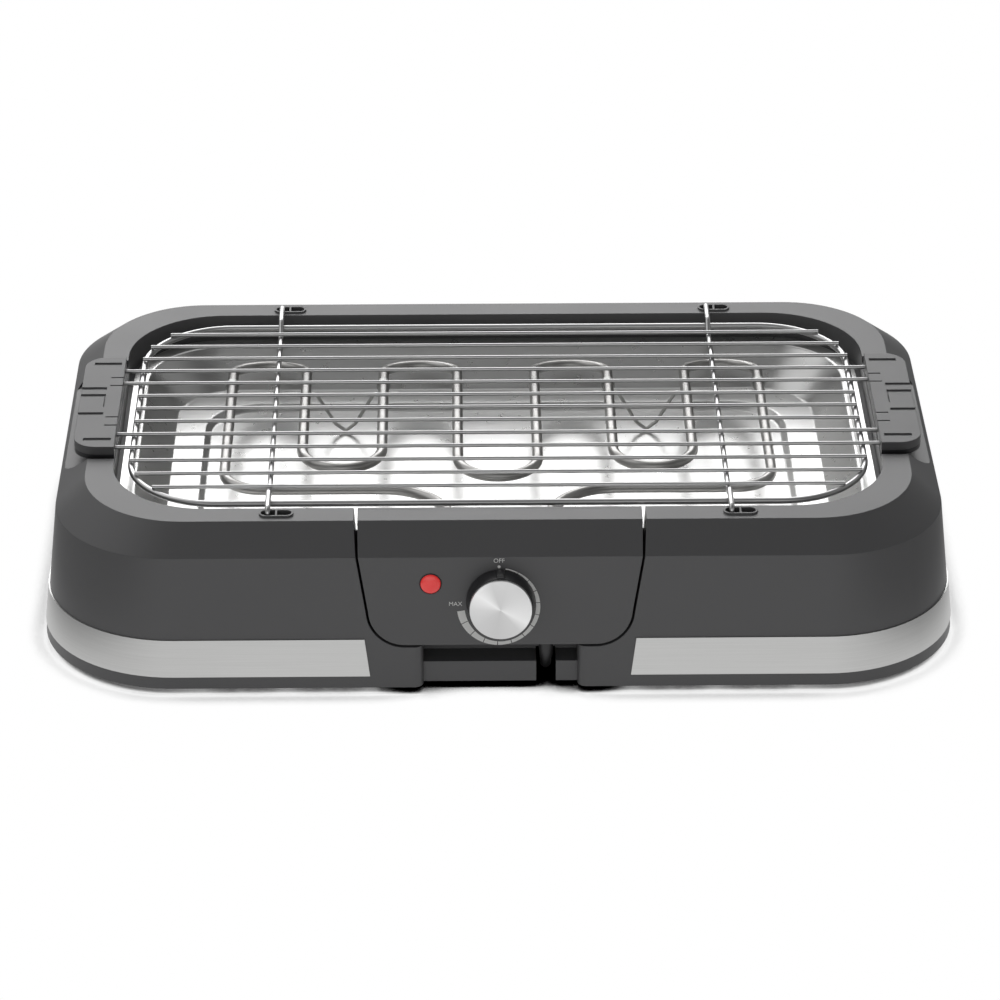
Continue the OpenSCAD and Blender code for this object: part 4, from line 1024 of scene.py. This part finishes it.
@dataclass
class HeatingElement:
    """The bent heater tube with its wire supports."""

    diameter: float = 6.5
    height: float = 88.6
    back_pitch: float = 45.6
    front_pitch: float = 47.8
    back_y: float = 71.5
    dip: float = 15.0
    side_front_y: float = -33.5
    middle_front_y: float = -45.2
    lead_y: float = -84.2
    corner_radius: float = 22.0
    lead_radius: float = 42.0
    terminal_x: float = 28.0
    terminal_y: float = -150.0
    wire: float = 2.2
    support_y: float = 51.0

    def legs(self) -> list[float]:
        """Sideways places of the eight legs."""
        pair = self.back_pitch + self.front_pitch
        return [k * pair + side * self.back_pitch / 2 for k in (-1.5, -0.5, 0.5, 1.5) for side in (-1, 1)]

    def line(self) -> Line:
        """The tube's centre line from terminal to terminal."""
        legs, z = self.legs(), self.height
        outer = legs[-1] - self.corner_radius
        turn_x = self.terminal_x + self.lead_radius
        points = [at(-self.terminal_x, self.terminal_y, z)]
        points += arc(at(-turn_x, self.lead_y - self.lead_radius, z), self.lead_radius, 0, 90)
        points += arc(at(-outer, self.lead_y + self.corner_radius, z), self.corner_radius, 270, 180, 14)
        for index in range(0, 8, 2):
            middle = (legs[index] + legs[index + 1]) / 2
            points += arc(at(middle, self.back_y, z), self.back_pitch / 2, 180, 0, 24, self.dip)
            if index < 6:
                front = self.middle_front_y if index == 2 else self.side_front_y
                middle = (legs[index + 1] + legs[index + 2]) / 2
                points += arc(at(middle, front, z), self.front_pitch / 2, 180, 360, 24)
        points += arc(at(outer, self.lead_y + self.corner_radius, z), self.corner_radius, 360, 270, 14)
        points += arc(at(turn_x, self.lead_y - self.lead_radius, z), self.lead_radius, 90, 180)
        points.append(at(self.terminal_x, self.terminal_y, z))
        return points

    def build(self) -> None:
        """Builds the tube and the supports."""
        element = tube("heater_tube", [self.line()], self.diameter / 2, sides=8)
        dress(element, HEATER_TUBE, Body.HEATER, ["heating_element"])
        self.support("left", 0, 1)
        self.support("right", 5, 5)
        dress_copy("element_ferrules", "ferrules", BRASS, Body.HEATER)

    def support(self, side: str, first: int, foot: int) -> None:
        """Builds a wire support with its two clips.

        Args:
            side: "left" or "right".
            first: Number of its first leg.
            foot: Number of the leg just left of its foot.
        """
        legs, y = self.legs(), self.support_y
        bar = self.height - self.diameter / 2 - self.wire / 2 - 0.05
        low = 57.5 + self.wire / 2 + 0.05
        middle = (legs[foot] + legs[foot + 1]) / 2
        half = self.front_pitch / 2 - 7
        corners = [
            at(legs[first] - 9, y, bar), at(middle - half - 1, y, bar), at(middle - 6.2, y, low + 5),
            at(middle, y, low), at(middle + 6.2, y, low + 5), at(middle + half + 1, y, bar),
            at(legs[first + 2] + 9, y, bar),
        ]
        wire = tube(f"support_wire_{side}", [rounded_path(corners, 3.0)], self.wire / 2)
        dress(wire, SUPPORT_WIRE, Body.HEATER, [f"bracket_{side}"])
        inner, outer = self.diameter / 2 + 0.05, self.diameter / 2 + 1.0
        clip = [
            (inner, 0.0), (outer - 0.2, 0.0), (outer, 0.2), (outer, 3.8), (outer - 0.2, 4.0), (inner, 4.0),
            (inner, 0.0),
        ]
        bm = bmesh.new()
        for leg in (legs[first], legs[first + 2]):
            front = Matrix.Translation(at(leg, y + self.wire / 2 + 0.1, self.height))
            revolve(bm, clip, front @ Matrix.Rotation(-math.pi / 2, 4, "X"), 48)
        dress(collect(f"support_clips_{side}", bm), ZINC_STEEL, Body.HEATER)


# ---- control module


@dataclass
class Panel:
    """The sloped face that carries the dial: where it is and how far it leans."""

    lean_deg: float = 6.34019
    half_depth: float = 172.5
    foot: float = 4.5

    def place(self, x: float, z: float, out: float = 0.0) -> Matrix:
        """Local axes on the panel: X across, Y up the panel, Z out of it.

        Args:
            x: Across, in millimetres.
            z: Height where the local origin meets the panel.
            out: How far the local origin stands out.

        Returns:
            The matrix from local metres to the frame.
        """
        lean = math.radians(self.lean_deg)
        depth = -(self.half_depth - (z - self.foot) * math.tan(lean))
        turn = Matrix.Rotation(math.pi / 2 - lean, 4, "X")
        return Matrix.Translation(at(x, depth, z)) @ turn @ Matrix.Translation((0, 0, out * MM))


@dataclass
class Dial:
    """The printed scale round the knob, its dot and its two words."""

    panel: Panel
    knob_z: float = 58.2
    inner_middle: Pair = (-0.1, -2.7)
    inner_size: Pair = (20.7, 22.6)
    outer_middle: Pair = (-1.1, -3.35)
    outer: float = 24.1
    first_deg: float = 7.0
    last_deg: float = 262.5
    segments: int = 13
    gap_deg: float = 1.1
    least: float = 0.75
    dot: Pair = (-0.75, 21.5)
    dot_radius: float = 0.9
    # Name, letters, middle and height of the capitals of each word
    words: tuple[tuple[str, str, Pair, float], ...] = (
        ("dial_word_off", "OFF", (-0.75, 25.3), 2.6),
        ("dial_word_max", "MAX", (-25.9, -1.5), 2.5),
    )

    def edges_at(self, angle: float) -> tuple[Vector, Vector]:
        """Inner and outer edge of the scale on the ray at an angle.

        Args:
            angle: Clockwise from straight up, in radians.

        Returns:
            The two points on the panel, in millimetres.
        """
        ray = Vector((math.sin(angle), math.cos(angle)))
        wide, tall = self.inner_size
        near = 1 / math.hypot(ray.x / wide, ray.y / tall)
        middle = Vector(self.inner_middle)
        apart = middle - Vector(self.outer_middle)
        along = apart.dot(ray)
        far = -along + math.sqrt(along * along - apart.dot(apart) + self.outer**2)
        return middle + ray * near, middle + ray * max(far, near + self.least)

    def build(self) -> None:
        """Prints the scale and the words."""
        place = self.panel.place(0, self.knob_z, 0.05)
        bm = bmesh.new()
        step = (self.last_deg - self.first_deg) / self.segments
        for index in range(self.segments):
            start = math.radians(self.first_deg + index * step + self.gap_deg / 2)
            bars = bmesh.ops.create_grid(bm, x_segments=8, y_segments=1, size=0.5)["verts"]
            for vert in bars:
                angle = start + (vert.co.x + 0.5) * math.radians(step - self.gap_deg)
                point = self.edges_at(angle)[1 if vert.co.y > 0 else 0]
                vert.co = (point.x * MM, point.y * MM, 0.0)
        dot = bmesh.ops.create_circle(bm, cap_ends=True, radius=self.dot_radius * MM, segments=24)["verts"]
        bmesh.ops.translate(bm, vec=(self.dot[0] * MM, self.dot[1] * MM, 0), verts=dot)
        bmesh.ops.transform(bm, matrix=place, verts=bm.verts)
        scale = collect("dial_scale", bm, turn_out=False)
        self.face_out(scale, place)
        dress(scale, INK, Body.HEATER)
        for name, letters, middle, height in self.words:
            self.word(name, letters, middle, height, place)

    def face_out(self, piece: Piece, place: Matrix) -> None:
        """Turns flat print to face out of the panel.

        Args:
            piece: The printed piece.
            place: The panel's axes.
        """
        out = place.to_3x3() @ Vector((0, 0, 1))
        bm = bmesh.new()
        bm.from_mesh(piece.data)
        bm.normal_update()
        bmesh.ops.reverse_faces(bm, faces=[face for face in bm.faces if face.normal.dot(out) < 0])
        bm.to_mesh(piece.data)
        bm.free()

    def word(self, name: str, text: str, middle: Pair, height: float, place: Matrix) -> None:
        """Prints a short word.

        Args:
            name: The piece's name.
            text: The word.
            middle: Its place on the panel, about the knob's axis, in millimetres.
            height: Height of the capitals in millimetres.
            place: The panel's axes.
        """
        data = bpy.data.curves.new(name, "FONT")
        data.body = text
        data.size = 1.0
        drawn = shown(name + "_drawn", data)
        bpy.context.view_layer.update()
        mesh = bpy.data.meshes.new_from_object(drawn)
        bpy.data.objects.remove(drawn)
        mesh.name = name
        low = Vector(min(vert.co[axis] for vert in mesh.vertices) for axis in range(3))
        high = Vector(max(vert.co[axis] for vert in mesh.vertices) for axis in range(3))
        size = height * MM / (high.y - low.y)
        centred = Matrix.Scale(size, 4) @ Matrix.Translation(-(low + high) / 2)
        mesh.transform(place @ Matrix.Translation((middle[0] * MM, middle[1] * MM, 0)) @ centred)
        printed = shown(name, mesh)
        self.face_out(printed, place)
        dress(printed, INK, Body.HEATER)


@dataclass
class ControlModule:
    """The module in the front wall: its shell, what shows on it and what it holds."""

    panel: Panel
    lamp_x: float = -40.3
    lamp_z: float = 69.2
    lamp_diameter: float = 12.6

    def build(self) -> None:
        """Builds the shell, the lens and the inner parts."""
        for node, name, finish in (
            ("control_fascia", "module_shell", BODY_PLASTIC),
            ("control_back", "module_cover", BODY_PLASTIC),
            ("cover_screws", "module_screws", ZINC_STEEL),
            ("thermostat", "thermostat_can", ZINC_STEEL),
            ("thermostat_bulb", "feeler_bulb", CHROME_WIRE),
            ("terminal_block", "terminals", STEATITE),
            ("thermal_fuse", "fuse", STEATITE),
            ("wiring", "inner_leads", SILICONE),
            ("cord_clamp", "cord_saddle", BLACK_PLASTIC),
            ("pilot_lamp", "neon_lamp", LAMP_GLASS),
        ):
            dress_copy(node, name, finish, Body.HEATER)
        self.lens()
        Dial(self.panel).build()

    def lens(self) -> None:
        """Builds the domed lens and the dark rim round it."""
        place = self.panel.place(self.lamp_x, self.lamp_z)
        radius = self.lamp_diameter / 2
        bm = bmesh.new()
        slopes = [math.radians(angle) for angle in range(0, 91, 10)]
        dome = [(radius * math.sin(slope) * 0.93, 0.25 + 1.3 * math.cos(slope)) for slope in slopes]
        revolve(bm, dome + [(radius * 0.93, -6.3), (0.0, -6.3)], place, 48)
        dress(collect("pilot_lens_red", bm, 50), RED_LENS, Body.HEATER, ["pilot_lens"])
        rim = bmesh.new()
        lip = [(radius * 0.94, -1.0), (radius * 0.94, 0.35), (radius * 0.97, 0.5), (radius, 0.3), (radius, -1.0)]
        revolve(rim, lip, place, 48)
        dress(collect("pilot_rim", rim, 50), BLACK_PLASTIC, Body.HEATER)


@dataclass
class Knob:
    """The dial: a dark tapering skirt and a turned aluminium face."""

    panel: Panel
    height_z: float = 58.2
    skirt: float = 40.0
    face: float = 36.4
    reach: float = 14.0
    face_thick: float = 2.8
    rib: float = 4.6

    def build(self) -> None:
        """Builds the skirt, the face and the shaft."""
        place = self.panel.place(0, self.height_z)
        low, high, top = self.skirt / 2, self.face / 2, self.reach
        seat = top - self.face_thick
        bm = bmesh.new()
        revolve(
            bm,
            [
                (3.1, 0.65), (5.5, 0.65), (5.5, 9.7), (high - 3.0, 9.7), (high - 3.0, 0.7),
                (low - 0.5, 0.65), (low - 0.1, 0.9), (low - 0.12, 1.6), (high + 0.55, seat - 0.2),
                (high + 0.4, seat + 0.4), (high + 0.05, seat + 0.5), (high + 0.02, seat), (0.0, seat),
            ],
            place,
        )
        block(bm, (-self.rib / 2, high - 2.0, 0.7), (self.rib / 2, high + 2.25, seat - 0.2), 0.6, place)
        dress(collect("knob_skirt", bm, 50), BLACK_PLASTIC, Body.KNOB, ["knob_body"])
        disc = bmesh.new()
        revolve(
            disc,
            [
                (0.0, seat + 0.02), (high - 0.08, seat + 0.02), (high - 0.08, top - 0.6),
                (high - 0.3, top - 0.15), (high - 0.8, top), (0.0, top),
            ],
            place,
        )
        # The face's colour carries painted highlights and painted shade round its axis
        turned = Turned(
            "aluminium_face_painted_highlights", "dial_aluminium", "dedede", 0.32, 0.75,
            middle=tuple(place.translation), lean_deg=self.panel.lean_deg,
        )
        dress(collect("knob_face", disc, 20), turned, Body.KNOB, ["knob_disc"])
        dress_copy("thermostat_shaft", "shaft", ZINC_STEEL, Body.KNOB)


# ---- grid


@dataclass
class CookingGrid:
    """The chromed wire grid with its grips."""

    ring_x: float = 217.7
    ring_y: float = 118.2
    ring_radius: float = 53.0
    ring_z: float = 97.15
    ring_wire: float = 4.0
    wires: int = 13
    pitch: float = 17.1
    wire: float = 2.4
    wire_z: float = 100.4
    long_wires: tuple[int, ...] = (3, 4, 8, 9)
    long_half: float = 242.2
    cross_x: float = 134.4
    cross_wire: float = 3.2
    cross_z: float = 97.55
    cross_top: float = 103.4
    cross_foot: float = 89.0
    socket_y: float = 137.4

    def build(self) -> None:
        """Builds the ring, the wires and the grips."""
        self.ring()
        self.long()
        self.cross()
        for side in ("left", "right"):
            # The grips' upper halves take a darker copy of the body plastic: painted shade
            dress_copy(f"handle_{side}_top", f"grip_{side}_upper", GRIP_PLASTIC_PAINTED_SHADE, Body.GRID, 20)
            dress_copy(f"handle_{side}_base", f"grip_{side}_lower", BLACK_PLASTIC, Body.GRID, 20)
        dress_copy("handle_screws", "grip_screws", ZINC_STEEL, Body.GRID)

    def ring(self) -> None:
        """Builds the ring wire."""
        x, y, r = self.ring_x - self.ring_radius, self.ring_y - self.ring_radius, self.ring_radius
        line: Line = []
        for sx, sy, start in ((1, 1, 0), (-1, 1, 90), (-1, -1, 180), (1, -1, 270)):
            line += arc(at(sx * x, sy * y, self.ring_z), r, start, start + 90, 20)
        ring = tube("grid_ring_wire", [line], self.ring_wire / 2, closed=True)
        dress(ring, CHROME_WIRE, Body.GRID, ["grid_ring"])

    def half_at(self, y: float) -> float:
        """Half width of the ring's middle line at depth y."""
        straight = self.ring_y - self.ring_radius
        if abs(y) <= straight:
            return self.ring_x
        return self.ring_x - self.ring_radius + math.sqrt(self.ring_radius**2 - (abs(y) - straight) ** 2)

    def long(self) -> None:
        """Builds the long wires."""
        lines = []
        for index in range(self.wires):
            y = ((self.wires - 1) / 2 - index) * self.pitch
            half = self.long_half if index in self.long_wires else self.half_at(y) + 1.0
            lines.append([at(-half, y, self.wire_z), at(half, y, self.wire_z)])
        dress(tube("grid_long_wires", lines, self.wire / 2), CHROME_WIRE, Body.GRID, ["grid_wires"])

    def cross(self) -> None:
        """Builds the two cross wires, bent down into the sockets."""
        lines = []
        for side in (-1, 1):
            x = side * self.cross_x
            half = [
                at(x, self.ring_y - 10.5, self.cross_z), at(x, self.ring_y - 3, self.cross_top),
                at(x, self.socket_y, self.cross_top), at(x, self.socket_y, self.cross_foot),
            ]
            mirrored = [Vector((p.x, 2 * BASE_MIDDLE_Y - p.y, p.z)) for p in half]
            lines.append(rounded_path(list(reversed(half)) + mirrored, 3.0))
        dress(tube("grid_cross_wires", lines, self.cross_wire / 2), CHROME_WIRE, Body.GRID, ["cross_wires"])


# ---- the whole grill


def main() -> None:
    """Builds the studio and the grill."""
    Studio().build()
    MainsCord().build()
    panel = Panel()
    for part in (Base(), DripTray(), HeatingElement(), ControlModule(panel), Knob(panel), CookingGrid()):
        LOG.info("building %s", type(part).__name__)
        part.build()
    bpy.context.view_layer.update()


if __name__ == "__main__":
    main()
